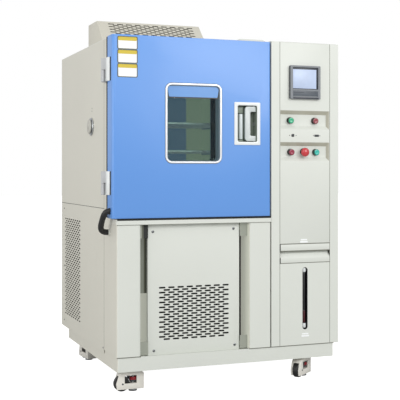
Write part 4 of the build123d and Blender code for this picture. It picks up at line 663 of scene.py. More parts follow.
def pipe_mesh(points: Sequence[Point], radius: float, sides: int, resolution: int) -> bpy.types.Mesh:
    """Makes the mesh of a round pipe along a smooth spline.

    Args:
        points: control points of the spline.
        radius: radius of the pipe.
        sides: faces around.
        resolution: divisions between two points.

    Returns:
        A mesh that the caller removes.
    """
    curve = bpy.data.curves.new("pipe", "CURVE")
    curve.dimensions = "3D"
    curve.bevel_depth = radius
    curve.bevel_resolution = max(1, sides // 4 - 1)
    curve.use_fill_caps = True
    spline = curve.splines.new("NURBS")
    spline.points.add(len(points) - 1)
    for spot, point in zip(spline.points, points):
        spot.co = (*point, 1.0)
    spline.order_u = 4
    spline.use_endpoint_u = True
    spline.resolution_u = resolution
    obj = bpy.data.objects.new("pipe", curve)
    bpy.context.scene.collection.objects.link(obj)
    mesh = bpy.data.meshes.new_from_object(obj.evaluated_get(bpy.context.evaluated_depsgraph_get()))
    bpy.data.objects.remove(obj)
    bpy.data.curves.remove(curve)
    return mesh


def dress(finish: Finish, *nodes: str) -> None:
    """Gives CAD nodes that keep their shape their finish.

    Args:
        finish: finish to give.
        nodes: names of the nodes.
    """
    for name in nodes:
        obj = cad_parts[name]
        obj.data.materials.clear()
        obj.data.materials.append(finish.material())


def renew(body: str, finish: Finish, *nodes: str, radius: float = 0.0, side: Optional[Finish] = None) -> None:
    """Makes clean copies of CAD nodes: merged, with even shading and, where asked, softened edges.

    Args:
        body: CAD body that the nodes belong to.
        finish: finish to give.
        nodes: names of the nodes.
        radius: width of the softened edges.
        side: painted shade, a darker finish for the faces that look to the left, where one is given.
    """
    for name in nodes:
        draft = Draft(f"{name}_clean")
        with draft.shape(finish, clean=False) as bm:
            take_node(bm, name)
            bmesh.ops.dissolve_limit(bm, angle_limit=math.radians(0.5), use_dissolve_boundaries=False,
                                     verts=bm.verts, edges=bm.edges)
            bmesh.ops.recalc_face_normals(bm, faces=bm.faces)
            if radius:
                long = [e for e in sharp_edges(bm, 60) if e.calc_length() > 20]
                round_edges(bm, long, radius)
        if side:
            # Faces that look to the left take the painted shade.
            draft.repaint(side, lambda f: f.normal.x < -0.7)
        draft.build(body, name)


@dataclass(frozen=True)
class Lamp:
    """One soft box that looks at a target, in the frame's metres.

    Attributes:
        name: what it does for the picture.
        place: where it stands.
        target: where it looks.
        size: length of its side.
        power: its power in watts.
    """

    name: str
    place: Point
    target: Point
    size: float
    power: float

    def build(self) -> None:
        """Adds the lamp to the scene."""
        data = bpy.data.lights.new(self.name, "AREA")
        data.size = self.size
        data.energy = self.power
        lamp = bpy.data.objects.new(self.name, data)
        lamp.location = self.place
        lamp.rotation_euler = (Vector(self.target) - Vector(self.place)).to_track_quat("-Z", "Y").to_euler()
        bpy.context.scene.collection.objects.link(lamp)


@dataclass
class Studio:
    """Floor, lights and the camera at the photograph's place.

    Attributes:
        eye: place of the camera, in millimetres from the corner.
        yaw: its turn to the right, in degrees.
        lens: its focal length, in millimetres.
        shift: upright shift of the picture, as a share of its width.
        ambient: strength of the surround for all that isn't seen directly.
        lamps: the soft boxes.
    """

    eye: Point = (-1134.5, -3992.0, 987.0)
    yaw: float = 20.907
    lens: float = 84.9
    shift: float = -0.076
    ambient: float = 0.74
    lamps: tuple[Lamp, ...] = (
        Lamp("key", (-1.4, -5.4, 3.3), (0.0, 0.0, 0.9), 2.4, 66.0),
        Lamp("fill", (2.1, -4.7, 2.75), (0.1, -0.5, 1.2), 2.2, 84.0),
        Lamp("side", (-5.0, -1.2, 1.5), (0.0, 0.0, 0.8), 3.0, 78.0))

    def build(self) -> None:
        """Makes the camera, the lights, the world and the floor."""
        data = bpy.data.cameras.new("view")
        data.lens = self.lens
        data.sensor_width = 36.0
        data.shift_y = self.shift
        data.clip_end = 100.0
        camera = bpy.data.objects.new("view", data)
        camera.location = DATUM.point(*self.eye)
        camera.rotation_euler = (math.radians(90), 0, -math.radians(self.yaw))
        bpy.context.scene.collection.objects.link(camera)
        bpy.context.scene.camera = camera
        bpy.context.scene.view_settings.view_transform = "Standard"
        self._world()
        for lamp in self.lamps:
            lamp.build()
        self._floor()

    def _world(self) -> None:
        """Sets the soft white surround."""
        world = bpy.data.worlds.new("surround")
        bpy.context.scene.world = world
        world.use_nodes = True
        tree = world.node_tree
        sky = tree.nodes["Background"]
        sky.inputs["Color"].default_value = (1, 1, 1, 1)
        path = tree.nodes.new("ShaderNodeLightPath")
        spread = tree.nodes.new("ShaderNodeMapRange")
        spread.inputs["To Min"].default_value = self.ambient
        spread.inputs["To Max"].default_value = 1.0
        tree.links.new(path.outputs["Is Camera Ray"], spread.inputs["Value"])
        tree.links.new(spread.outputs["Result"], sky.inputs["Strength"])

    def _floor(self) -> None:
        """Adds the pale floor."""
        bm = bmesh.new()
        bmesh.ops.create_grid(bm, x_segments=1, y_segments=1, size=30.0)
        mesh = bpy.data.meshes.new("floor")
        bm.to_mesh(mesh)
        bm.free()
        paint = Finish("floor_white", "", "b4b4b2", Surface.SMOOTH, rough=0.9, shade=0.0, glow=0.9).material()
        shader = paint.node_tree.nodes["Principled BSDF"]
        shader.inputs["Emission Color"].default_value = (1, 1, 1, 1)
        path = paint.node_tree.nodes.new("ShaderNodeLightPath")
        paint.node_tree.links.new(path.outputs["Is Camera Ray"], shader.inputs["Emission Strength"])
        mesh.materials.append(paint)
        floor = bpy.data.objects.new("floor", mesh)
        bpy.context.scene.collection.objects.link(floor)


@dataclass
class Conduit:
    """Flexible conduit that leaves the door's edge, bows out and enters the body's side.

    Attributes:
        radius: radius of the solid hose.
        door_end: its end at the door's edge.
        body_end: its end in the body's side.
        out: how far it bows out from the body.
        swell: how much larger the hose's radius is than its solid's.
    """

    radius: float = 12.0
    door_end: Point = (-24.0, 40.0, 803.0)
    body_end: Point = (-6.0, 125.0, 705.0)
    out: float = 44.8
    swell: float = 1.1

    def route(self) -> list[Point]:
        """Control points of its smooth line, from the body to the door."""
        (dx, dy, dz), (bx, by, bz) = self.door_end, self.body_end
        mid_y, mid_z, out = (by + dy) / 2, (bz + dz) / 2, -self.out
        return [(bx, by, bz), (bx - 14, by, bz), (out + 6, by - 6, bz + 6), (out - 1, by - 22, bz + 26),
                (out - 1, mid_y, mid_z), (out, dy + 16, dz - 20), (out + 5, dy + 4, dz - 4), (dx - 5, dy, dz),
                (dx, dy, dz)]

    def build(self) -> None:
        """Makes the hose, a little fuller than its solid, as one fixed piece between the body and the door.
        """
        mesh = pipe_mesh(self.route(), self.radius + self.swell, sides=20, resolution=24)
        draft = Draft("door_conduit_hose")
        with draft.shape(HOSE) as bm:
            bm.from_mesh(mesh)
        bpy.data.meshes.remove(mesh)
        hose = draft.build(None)
        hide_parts("door_conduit")
        DATUM.point(*self.body_end)
        DATUM.point(*self.door_end)
        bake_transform(hose)


@dataclass
class Grille:
    """Pattern of staggered round-ended slots.

    Attributes:
        columns: slots in the first row.
        rows: number of rows.
        row_gap: distance between rows.
        length: length of a slot.
        height: height of a slot.
        pitch: distance between slots in a row.
    """

    columns: int
    rows: int
    row_gap: float
    length: float = 31.0
    height: float = 6.0
    pitch: float = 44.0

    @property
    def run(self) -> float:
        """Distance from the first slot to the last one in a row."""
        return (self.columns - 1) * self.pitch

    @property
    def rise(self) -> float:
        """Distance from the first row to the last one."""
        return (self.rows - 1) * self.row_gap

    def loops(self, bm: BMesh, matrix: Matrix) -> list[BMEdge]:
        """Adds the edges of all slots.

        Args:
            bm: mesh to add to.
            matrix: place of the first slot, whose length runs along X and whose rows run along Y.

        Returns:
            The edges.
        """
        edges: list[BMEdge] = []
        radius = self.height / 2
        half = self.length / 2 - radius
        for u, v in staggered(self.columns, self.rows, self.pitch, self.row_gap):
            verts = bmesh.ops.create_circle(bm, cap_ends=False, segments=12, radius=radius)["verts"]
            turn = Matrix.Rotation(math.radians(15), 4, "Z")
            bmesh.ops.transform(bm, matrix=turn, verts=verts)
            for side in (-1, 1):
                end = [w for w in verts if w.co.x * side > 0]
                bmesh.ops.translate(bm, vec=(half * side, 0, 0), verts=end)
            bmesh.ops.transform(bm, matrix=matrix @ Matrix.Translation((u, v, 0)), verts=verts)
            edges += {e for w in verts for e in w.link_edges}
        return edges


@dataclass
class Skins:
    """Outer panels of the body: the slotted ones are made anew, the plain ones keep their shape.

    Attributes:
        vent_x: left edge of the front vent panel.
        vent_w: its width.
        vent_z: its lower and upper edge.
        vent_y: its face.
        vent_fold: depth of its folded edges.
        vent_foot: height of its lowest row of slots above its lower edge.
        vent_screws: places of its screws.
        side_y: front and rear edge of the lower side panel.
        side_z: its lower and upper edge.
        side_slot: place of its first slot, back and up.
        side_screws: places of its screws and of the screw above it, back and up.
        cowl_w: width of the roof cowl.
        cowl_y: its front edge.
        cowl_slope: depth of its slope.
        cowl_top: depth of its flat top.
        cowl_h: its height.
        cowl_slot: place of its first slot, across and up the slope.
        roof_z: top of the roof.
        right_x: face of the right side panel.
        rear_y: face of the rear panel.
        cover_out: how far the raised vent covers stand proud of them, at the right and the rear.
        sheet: thickness of the vent panel and the cowl.
        side_sheet: thickness of the lower side panel.
        joint_x: upright joints of the column.
        joint_z: their lower and upper end.
        gap_x: outer edges of the two gaps beside the vent panel.
        gap_y: face and back of the covers in the gaps.
        gap_z: lower and upper end of the gaps.
        gap_clear: distance from the vent panel to a cover.
        cover_h: height of a cover.
        cover_bands: where the tones of the upper left cover meet.
        wall_bands: edges of the wall behind the left gap, and where its tones meet.
        wall_y: face and back of that wall.
        wall_lit: height of its bright part.
        mats: lower and upper corner of each mat behind the louvres.
        front_grille: slots of the front vent panel.
        side_grille: slots of the lower side panel.
        cowl_grille: slots of the cowl's slope.
    """

    vent_x: float = 150.5
    vent_w: float = 444.0
    vent_z: tuple[float, float] = (155.0, 742.5)
    vent_y: float = 25.0
    vent_fold: float = 17.0
    vent_foot: float = 69.7
    vent_screws: tuple[tuple[float, float], ...] = ((174, 709), (565, 715), (179, 176), (571, 179))
    side_y: tuple[float, float] = (212.5, 1091.0)
    side_z: tuple[float, float] = (143.0, 807.5)
    side_slot: tuple[float, float] = (687.5, 219.0)
    side_screws: tuple[tuple[float, float], ...] = ((1028, 779), (1028, 178), (227, 167), (1028, 470))
    cowl_w: float = 516.0
    cowl_y: float = 242.0
    cowl_slope: float = 105.0
    cowl_top: float = 157.0
    cowl_h: float = 103.0
    cowl_slot: tuple[float, float] = (66.5, 128.5)
    roof_z: float = 1587.0
    right_x: float = 1100.0
    rear_y: float = 1093.0
    cover_out: tuple[float, float] = (4.5, 4.0)
    sheet: float = 1.5
    side_sheet: float = 2.0
    joint_x: tuple[float, ...] = (745.8, 790.8, 1054.2)
    joint_z: tuple[float, float] = (161.0, 1585.0)
    gap_x: tuple[float, float] = (111.5, 633.5)
    gap_y: tuple[float, float] = (19.5, 20.0)
    gap_z: tuple[float, float] = (161.0, 740.5)
    gap_clear: float = 0.5
    cover_h: float = 60.0
    # cover_bands: where the painted shade bands of the upper left cover meet.
    cover_bands: tuple[float, float] = (121.0, 129.0)
    # wall_bands: edges of the wall behind the left gap, and where its painted shade bands meet.
    wall_bands: tuple[float, ...] = (116.0, 161.5, 170.5, 215.0)
    wall_y: tuple[float, float] = (120.0, 121.0)
    # wall_lit: height of its lower part, which glows as painted bounce light.
    wall_lit: float = 262.0
    mats: tuple[tuple[Point, Point], ...] = (
        ((1094.0, 606.0, 178.0), (1095.0, 994.0, 448.0)), ((20.0, 1087.0, 150.0), (950.0, 1088.0, 380.0)))
    front_grille: Grille = field(default_factory=lambda: Grille(8, 22, 11.05, height=8.0))
    side_grille: Grille = field(default_factory=lambda: Grille(8, 45, 11.5, height=7.6))
    cowl_grille: Grille = field(default_factory=lambda: Grille(10, 10, 10.4, height=7.6))

    def build(self) -> None:
        """Makes all panels."""
        self._front_vent()
        self._side_vent()
        self._cowl()
        self._filters()
        self._screws()
        renew("cabinet", ENAMEL, "base_frame", side=ENAMEL_SHADED_SIDE)
        self._front_frame()
        renew("cabinet", ENAMEL, "right_side_panel", "rear_panel", "roof_panel", "rear_vent_panel",
              "column_post", "gauge_panel")
        renew("cabinet", ENAMEL_SHADED_SIDE, "upper_side_panel")
        self._seams()

    def _seams(self) -> None:
        """Makes the dark lines of the joints between the panels, the painted shade under the door, and
        painted shade in the drawer's finger pull.
        """
        draft = Draft("panel_joints")
        half, wide, proud, seat = 1.0, 1.6, 0.25, 0.5
        low, high = self.joint_z
        for x in self.joint_x:
            draft.block((x - half, -proud, low), (x + half, seat, high), SEAM, 0.0)
        for z, x0, x1 in ((159.0, 0, 111.0), (159.0, 634.0, 1075.0), (547.0, 791, 1054)):
            draft.block((x0, -proud, z - wide), (x1, seat, z + wide), SEAM, 0.0)
        draft.block((0, -2.3, 741.6), (745, -1.0, 743.4), SEAM, 0.0)
        draft.block((-proud, 212.2 - half, 145), (seat, 212.2 + half, high), SEAM, 0.0)
        draft.block((-proud, 213, 807.2), (seat, 1091, 809.4), GAP, 0.0)
        # Black strip on the sill under the door: painted shade.
        draft.block((1, -2.6, 762.0), (744, 60, 770.6), BLACK_FRIT_AND_SHADE, 0.0)
        # Dark marks at the open ends of the drawer's finger pull: painted shade.
        for z0, z1 in ((603.5, 637.0), (546.0, 573.0)):
            draft.block((789.6, -0.9, z0), (794.4, 0.6, z1), GAP, 0.0)
        # Dark line of the joint above the drawer, and painted shadow under the finger pull's lip.
        for z0, z1, x1 in ((635.2, 639.0, 1054), (601.5, 605.4, 1048)):
            draft.block((791, -seat, z0), (x1, seat, z1), SEAM, 0.0)
        draft.build("cabinet")

    def _front_frame(self) -> None:
        """Makes the pillars, with covers and walls behind the two gaps beside the vent panel that carry
        painted shade in bands and glow as painted bounce light.
        """
        renew("cabinet", ENAMEL, "front_frame", side=ENAMEL_SHADED_SIDE)
        (low, high), (face, seat), (far_left, far_right) = self.gap_z, self.gap_y, self.gap_x
        left, right = self.vent_x - self.gap_clear, self.vent_x + self.vent_w + self.gap_clear
        # Painted shade across each gap, from a dim glow to black.
        tones = (JAMB_SHADE_GLOW, RAIL, GAP)
        draft = Draft("gap_painted_light_and_shade")
        for z0 in (low, high - self.cover_h):
            draft.block((right, face, z0), (far_right, seat, z0 + self.cover_h), JAMB_SHADE_GLOW, 0.0)
        draft.block((far_left, face, low), (left, seat, low + self.cover_h), JAMB_SHADE_GLOW, 0.0)
        cover = (far_left, *self.cover_bands, left)
        for x0, x1, finish in zip(cover, cover[1:], tones):
            draft.block((x0, face, high - self.cover_h), (x1, seat, high), finish, 0.0)
        # Right pillar's inner face: a glowing sheet, painted bounce light.
        draft.block((633.2, 4, low), (633.8, 96, high - 8), JAMB_LIGHT_GLOW, 0.0)
        wall, (front, rear), lit = self.wall_bands, self.wall_y, low + self.wall_lit
        draft.block((wall[0], front, low), (wall[-1], rear, lit), JAMB_LIGHT_GLOW, 0.0)
        for x0, x1, finish in zip(wall, wall[1:], tones):
            draft.block((x0, front, lit), (x1, rear, high), finish, 0.0)
        draft.block((170, 36.5, low + 20), (575, 37.5, 480), FILTER, 0.0)
        draft.build("cabinet")

    def _front_vent(self) -> None:
        """Makes the screwed front panel with its folded returns."""
        x0, x1 = self.vent_x, self.vent_x + self.vent_w
        z0, z1 = self.vent_z
        y, grille = self.vent_y, self.front_grille
        draft = Draft("front_vent_cover")
        with draft.shape(ENAMEL) as bm:
            cube(bm, (x0, y, z0), (x1, y + self.vent_fold, z1))
            open_side(bm, (0, 1, 0))
            front = [f for f in bm.faces if f.normal.y < -0.5][0]
            first = (x0 + (self.vent_w - grille.run) / 2, y, z0 + self.vent_foot + grille.rise)
            place = Matrix.Translation(first) @ Matrix.Rotation(math.radians(-90), 4, "X")
            pierce(bm, front, grille.loops(bm, place))
            bmesh.ops.recalc_face_normals(bm, faces=bm.faces)
            edges = edges_along(bm, 0, ((1, y),)) + edges_along(bm, 2, ((1, y),))
            round_edges(bm, [e for e in edges if e.calc_face_angle(0.0) > 1.0], 1.6, 3)
            bmesh.ops.solidify(bm, geom=bm.faces[:], thickness=self.sheet)
        draft.build("cabinet", "front_vent_panel")

    def _side_vent(self) -> None:
        """Makes the lower side panel with its dense grille."""
        (y0, y1), (z0, z1) = self.side_y, self.side_z
        draft = Draft("lower_side_skin")
        with draft.shape(ENAMEL_SHADED_SIDE) as bm:
            face = rounded_face(bm, (0.0, (y0 + y1) / 2, (z0 + z1) / 2), y1 - y0, z1 - z0, 0.0, Axis.X)
            first_y, first_z = self.side_slot
            place = Matrix(((0, 0, 1, 0), (1, 0, 0, first_y), (0, 1, 0, first_z), (0, 0, 0, 1)))
            pierce(bm, face, self.side_grille.loops(bm, place))
            bmesh.ops.recalc_face_normals(bm, faces=bm.faces)
            if bm.faces[0].normal.x > 0:
                bmesh.ops.reverse_faces(bm, faces=bm.faces)
            bmesh.ops.solidify(bm, geom=bm.faces[:], thickness=self.side_sheet)
        draft.block((4, y0 + 440, z0 + 50), (5, y1 - 30, z1 - 45), FILTER, 0.0)
        draft.build("cabinet", "lower_side_panel")

    def _cowl(self) -> None:
        """Makes the roof cowl with its slotted slope."""
        y0, z0 = self.cowl_y, self.roof_z
        y1, z1 = y0 + self.cowl_slope + self.cowl_top, z0 + self.cowl_h
        draft = Draft("roof_cowl")
        # The cowl is in painted shade, darker than the body.
        with draft.shape(ENAMEL_COWL_SHADE) as bm:
            verts = cube(bm, (0, y0, z0), (self.cowl_w, y1, z1))
            lip = [v for v in verts if v.co.y < y0 + 1 and v.co.z > z1 - 1]
            bmesh.ops.translate(bm, vec=(0, self.cowl_slope, 0), verts=lip)
            open_side(bm, (0, 0, -1))
            slope = [f for f in bm.faces if f.normal.y < -0.2 and f.normal.z > 0.2][0]
            up = Vector((0, self.cowl_slope, self.cowl_h)).normalized()
            out = Vector((1, 0, 0)).cross(up)
            first_x, first_up = self.cowl_slot
            first = Vector((first_x, y0, z0)) + up * first_up
            place = Matrix.Translation(first) @ Matrix((Vector((1, 0, 0)), -up, -out)).transposed().to_4x4()
            pierce(bm, slope, self.cowl_grille.loops(bm, place))
            bmesh.ops.recalc_face_normals(bm, faces=bm.faces)
            rim = [e for e in sharp_edges(bm, 20) if e.calc_length() > 60]
            round_edges(bm, rim, 2.0, 3)
            bmesh.ops.solidify(bm, geom=bm.faces[:], thickness=self.sheet)
        with draft.shape(COWL_DARK) as bm:
            verts = cube(bm, (-30, -8, 8), (self.cowl_w - 90, 112, 9))
            bmesh.ops.transform(bm, matrix=place, verts=verts)
        draft.build("cabinet", "fan_cowl")

    def _filters(self) -> None:
        """Makes the dark mats behind the louvres at the right and the rear."""
        draft = Draft("vent_filters")
        for low, high in self.mats:
            draft.block(low, high, FILTER, 0.0)
        draft.build("cabinet")

    def _screws(self) -> None:
        """Makes the panel screws."""
        draft = Draft("panel_screws")
        large, head, small = 6.5, 4.5, 4.0
        right, rear = self.right_x, self.rear_y
        right_out, rear_out = self.cover_out
        for x, z in self.vent_screws:
            draft.screw((x, self.vent_y, z), large)
        for y, z in self.side_screws:
            draft.screw((0, y, z), head, axis=Axis.X)
        for z in (430, 800, 1170, 1540):
            for x in (14, 550, 1086):
                draft.screw((x, rear, z), head, outwards=1)
        for x in (30, 380, 730, 1070):
            for z in (160, 368):
                draft.screw((x, rear + rear_out, z), head, outwards=1)
        for y in (608, 992):
            for z in (176, 446):
                draft.screw((right + right_out, y, z), small, axis=Axis.X, outwards=1)
        for y in (40, 560, 1070):
            for z in (1560, 190):
                draft.screw((right, y, z), head, axis=Axis.X, outwards=1)
        draft.build("cabinet")


@dataclass
class Door:
    """Hinged door with its window, latch, seal and hinges.

    Attributes:
        x0: left edge.
        x1: right edge.
        z0: lower edge.
        z1: upper edge.
        depth: thickness of the painted pan.
        left_r: radius of its left front edge.
        right_r: radius of its right front edge.
        window_mid: middle of the window.
        window_size: width and height of its trim.
        window_r: corner radius of the trim.
        window_cut: how far the trim covers the skin.
        frame_w: width of the trim.
        pane_y: face of each pane.
        pane_deep: thickness of a pane.
        spacer_y: face of the spacer ring between the panes.
        spacer_deep: its depth.
        spacer_in: how far it lies inside the panes' edge.
        band_h: height of the coloured band at the top.
        latch_mid: middle of the latch box.
        latch_size: width and height of its frame.
        latch_proud: how far the frame stands proud of the skin.
        pocket: width, height and depth of its pocket.
        pocket_cut: how much larger the skin's opening is, on each side.
        lever_left: distance from the pocket's left side to the lever.
        lever_bar: width of the lever's bar.
        lever_arm: height of its two arms.
        lever_y: its face and back.
        sheet: thickness of the skin.
        seal_w: width of the rubber seal.
        seal_deep: its thickness.
        conduit_socket: middle of the conduit's socket in the door's edge.
        pin: axis of the hinges.
        hinge_z: middle of each hinge.
        hinge_half: half of a hinge's height.
        upper_knuckle: profile of the knuckle on the door.
        lower_knuckle: profile of the knuckle on the body.
        hinge_pin: profile of the pin.
        cards: upper and lower edge of each card.
    """

    x0: float = -20.0
    x1: float = 742.0
    z0: float = 771.0
    z1: float = 1582.0
    depth: float = 80.0
    left_r: float = 16.0
    right_r: float = 7.0
    window_mid: tuple[float, float] = (361.0, 1195.5)
    window_size: tuple[float, float] = (272.0, 361.0)
    window_r: float = 30.0
    window_cut: float = 6.0
    frame_w: float = 9.0
    pane_y: tuple[float, float] = (7.0, 106.0)
    pane_deep: float = 5.0
    spacer_y: float = 47.0
    spacer_deep: float = 57.0
    spacer_in: float = 3.4
    band_h: float = 52.0
    latch_mid: tuple[float, float] = (624.0, 1199.0)
    latch_size: tuple[float, float] = (132.0, 200.0)
    latch_proud: float = 3.0
    pocket: tuple[float, float, float] = (98.0, 168.0, 45.0)
    pocket_cut: float = 2.5
    lever_left: float = 41.0
    lever_bar: float = 26.0
    lever_arm: float = 24.0
    lever_y: tuple[float, float] = (5.0, 21.0)
    sheet: float = 1.5
    seal_w: float = 40.0
    seal_deep: float = 19.7
    conduit_socket: Point = (-22.0, 40.0, 803.0)
    pin: tuple[float, float] = (-31.0, 108.0)
    hinge_z: tuple[float, float] = (1432.5, 927.0)
    hinge_half: float = 52.5
    upper_knuckle: Profile = ((5.1, 0.4), (10.6, 0.4), (11, 0.9), (11, 51.5), (10, 52.5), (5.1, 52.5),
                              (5.1, 0.4))
    lower_knuckle: Profile = ((5.0, -0.3), (11, -0.3), (11, -51.5), (10, -52.5), (0.01, -52.5))
    hinge_pin: Profile = ((4.9, -1), (4.9, 52.4), (4.0, 53.0), (0.01, 53.0))
    cards: tuple[tuple[float, float], ...] = ((1574.0, 1516.5), (1515.5, 1455.0), (1454.0, 1393.5))

    def build(self) -> None:
        """Makes all pieces of the door."""
        self._shell()
        self._window()
        self._latch()
        self._lever()
        self._seal()
        self._hinges()
        self._cards()
        renew("door", LINER_GLOW, "door_plug")
        dress(STEEL, "latch_bolt")

    def _shell(self) -> None:
        """Makes the painted pan with rounded side edges and its two openings."""
        draft = Draft("door_skin")
        with draft.shape(BLUE) as bm:
            cube(bm, (self.x0, 0, self.z0), (self.x1, self.depth, self.z1))
            round_edges(bm, edges_along(bm, 2, ((0, self.x0), (1, 0.0))), self.left_r, 8)
            round_edges(bm, edges_along(bm, 2, ((0, self.x1), (1, 0.0))), self.right_r, 5)
            open_side(bm, (0, 1, 0))
            rims = [e for e in sharp_edges(bm, 60) if abs(e.verts[0].co.z - e.verts[1].co.z) < 0.01]
            round_edges(bm, rims, 1.5, 3)
            bm.normal_update()
            front = max((f for f in bm.faces if f.normal.y < -0.9), key=lambda f: f.calc_area())
            x, z = self.window_mid
            w, h = self.window_size
            cut = self.window_cut
            loops = opening(bm, (x, 0, z), w - 2 * cut, h - 2 * cut, self.window_r - cut)
            x, z = self.latch_mid
            w, h, _ = self.pocket
            cut = self.pocket_cut
            loops += opening(bm, (x, 0, z), w + 2 * cut, h + 2 * cut, 1.0, steps=1)
            pierce(bm, front, loops)
            bmesh.ops.recalc_face_normals(bm, faces=bm.faces)
            bmesh.ops.solidify(bm, geom=bm.faces[:], thickness=self.sheet)
        draft.disc(self.conduit_socket, 15.0, 4.0, BLACK, Axis.X, 0.8)
        draft.build("door", "door_shell")

    def _window(self) -> None:
        """Makes the bright trim, the two panes with their spacer and black borders, and the coloured band."""
        x, z = self.window_mid
        w, h = self.window_size
        trim = Draft("window_trim_ring")
        with trim.shape(TRIM) as bm:
            face = rounded_face(bm, (x, -4, z), w, h, self.window_r, steps=8)
            hollow(bm, face, self.frame_w)
            push(bm, list(bm.faces), (0, 4, 0))
            bmesh.ops.recalc_face_normals(bm, faces=bm.faces)
            rims = [e for e in sharp_edges(bm, 50) if e.verts[0].co.y < -3.9]
            round_edges(bm, rims, 2.2, 4)
        # Thin dark ring around the trim: painted shadow.
        trim.plate((x, -0.4, z), w + 3.0, h + 3.0, self.window_r + 1.5, 0.6, GAP, edge=0.0, hole=3.0)
        trim.build("door", "window_trim")
        w, h, r = w - 2 * self.frame_w - 0.6, h - 2 * self.frame_w - 0.6, self.window_r - self.frame_w
        panes = Draft("window_panes")
        for y in self.pane_y:
            panes.plate((x, y, z), w, h, r, self.pane_deep, GLASS, edge=0.3)
        panes.build("door", "window_glass", smooth=1.0)
        border = Draft("window_border")
        for y, rim in ((12.3, 2.5), (104.4, 4.0)):
            border.plate((x, y, z), w - 0.4, h - 0.4, r, 1.0, BLACK_FRIT_AND_SHADE, edge=0.0, hole=rim)
        inset = self.spacer_in
        border.plate((x, self.spacer_y, z), w - 2 * inset, h - 2 * inset, r - inset, self.spacer_deep, BLACK_FRIT_AND_SHADE,
                     edge=0.0, hole=1.0)
        border.build("door")
        band = Draft("window_band")
        half, top = w / 2, z + h / 2
        with band.shape(BAND) as bm:
            verts = cube(bm, (x - half + 1, 5.6, top - self.band_h), (x + half - 1, 6.8, top - 1))
            low = [v for v in verts if v.co.z < top - 40]
            bmesh.ops.scale(bm, vec=(0.93, 1, 1), space=Matrix.Translation((-x, 0, 0)), verts=low)
            round_edges(bm, edges_along(bm, 1), 4.0, 3)
        band.block((x - half + 0.5, 6.85, top - self.band_h - 5), (x + half - 0.5, 6.97, top - 8), BLACK_FRIT_AND_SHADE, 0.0)
        band.build("door")

    def _latch(self) -> None:
        """Makes the latch box with its frame, pocket, roller and bearings."""
        x, z = self.latch_mid
        w, h, deep = self.pocket
        fw, fh = self.latch_size[0] - 2, self.latch_size[1] - 3
        proud = self.latch_proud
        draft = Draft("latch_box")
        with draft.shape(WHITE) as bm:
            face = rounded_face(bm, (x, -proud, z), fw, fh, 4.0, steps=3)
            loops = opening(bm, (x, -proud, z), w, h, 8.0, steps=4)
            outer = list(face.edges)
            pierce(bm, face, loops)
            fold_back(bm, loops, deep + proud, close=True)
            fold_back(bm, [e for e in outer if e.is_valid], proud)
            bmesh.ops.recalc_face_normals(bm, faces=bm.faces)
            front = [e for e in sharp_edges(bm, 50) if all(v.co.y < 0.1 - proud for v in e.verts)]
            round_edges(bm, front, 1.2, 3)
            bmesh.ops.solidify(bm, geom=bm.faces[:], thickness=self.sheet)
        # Faces inside the pocket: painted shade.
        draft.repaint(POCKET_SHADE, lambda f: f.calc_center_median().y > 3)
        left = x - w / 2
        draft.disc((left + 26, 26, z - 13), 10.5, 118, ROLLER, Axis.Z, 2.0)
        # Bearing blocks above and below the roller, in the pocket's painted shade.
        draft.block((left + 6, 20, z + 49), (left + 38, 44.4, z + 81), POCKET_SHADE, 2.0)
        draft.block((left + 6, 20, z - 82), (left + 38, 44.4, z - 75), POCKET_SHADE, 1.0)
        draft.block((x + w / 2 + 1.6, 22, z - 13), (x + w / 2 + 38, 48, z + 13), ZINC)
        draft.build("door", "latch_housing")

    def _lever(self) -> None:
        """Makes the C-shaped lever with wide sloped flanks in painted shade, and its two pivots."""
        x, z = self.latch_mid
        w, h, _ = self.pocket
        left, bar, arm = x - w / 2 + self.lever_left, self.lever_bar, self.lever_arm
        end, axis_x = x + w / 2 - 1.5, x + w / 2 - 9
        half = h / 2 - 4
        face, rear = self.lever_y
        draft = Draft("pull_lever")
        with draft.shape(LEVER) as bm:
            cube(bm, (left, face, z - half), (end, rear, z + half))
            for place, normal in (((left + bar, 0, 0), (1, 0, 0)), ((0, 0, z - half + arm), (0, 0, 1)),
                                  ((0, 0, z + half - arm), (0, 0, 1))):
                bmesh.ops.bisect_plane(bm, geom=bm.verts[:] + bm.edges[:] + bm.faces[:], plane_co=place,
                                       plane_no=normal)
            gone = [f for f in bm.faces if f.calc_center_median().x > left + bar
                    and abs(f.calc_center_median().z - z) < half - arm - 1]
            bmesh.ops.delete(bm, geom=gone, context="FACES")
            rim = [e for e in bm.edges if len(e.link_faces) < 2]
            levels = [[e for e in rim if all(abs(v.co.y - y) < 0.1 for v in e.verts)] for y in self.lever_y]
            bmesh.ops.bridge_loops(bm, edges=levels[0] + levels[1])
            bmesh.ops.recalc_face_normals(bm, faces=bm.faces)
            bmesh.ops.dissolve_limit(bm, angle_limit=0.01, verts=bm.verts, edges=bm.edges)
            round_edges(bm, edges_along(bm, 1, ((0, left),)), 13.0, 6)
            round_edges(bm, edges_along(bm, 1, ((0, left + bar),)), 6.0, 4)
            round_edges(bm, edges_along(bm, 2, ((0, end),)), 5.0, 3)
            bm.normal_update()
            front = [e for e in sharp_edges(bm, 30) if all(v.co.y < face + 0.1 for v in e.verts)]
            outer = [e for e in front if self._outside(e, left, end, z, half)]
            round_edges(bm, outer, 9.0, 5)
            bm.normal_update()
            front = [e for e in sharp_edges(bm, 50) if all(v.co.y < face + 0.1 for v in e.verts)]
            round_edges(bm, front, 2.0, 3)
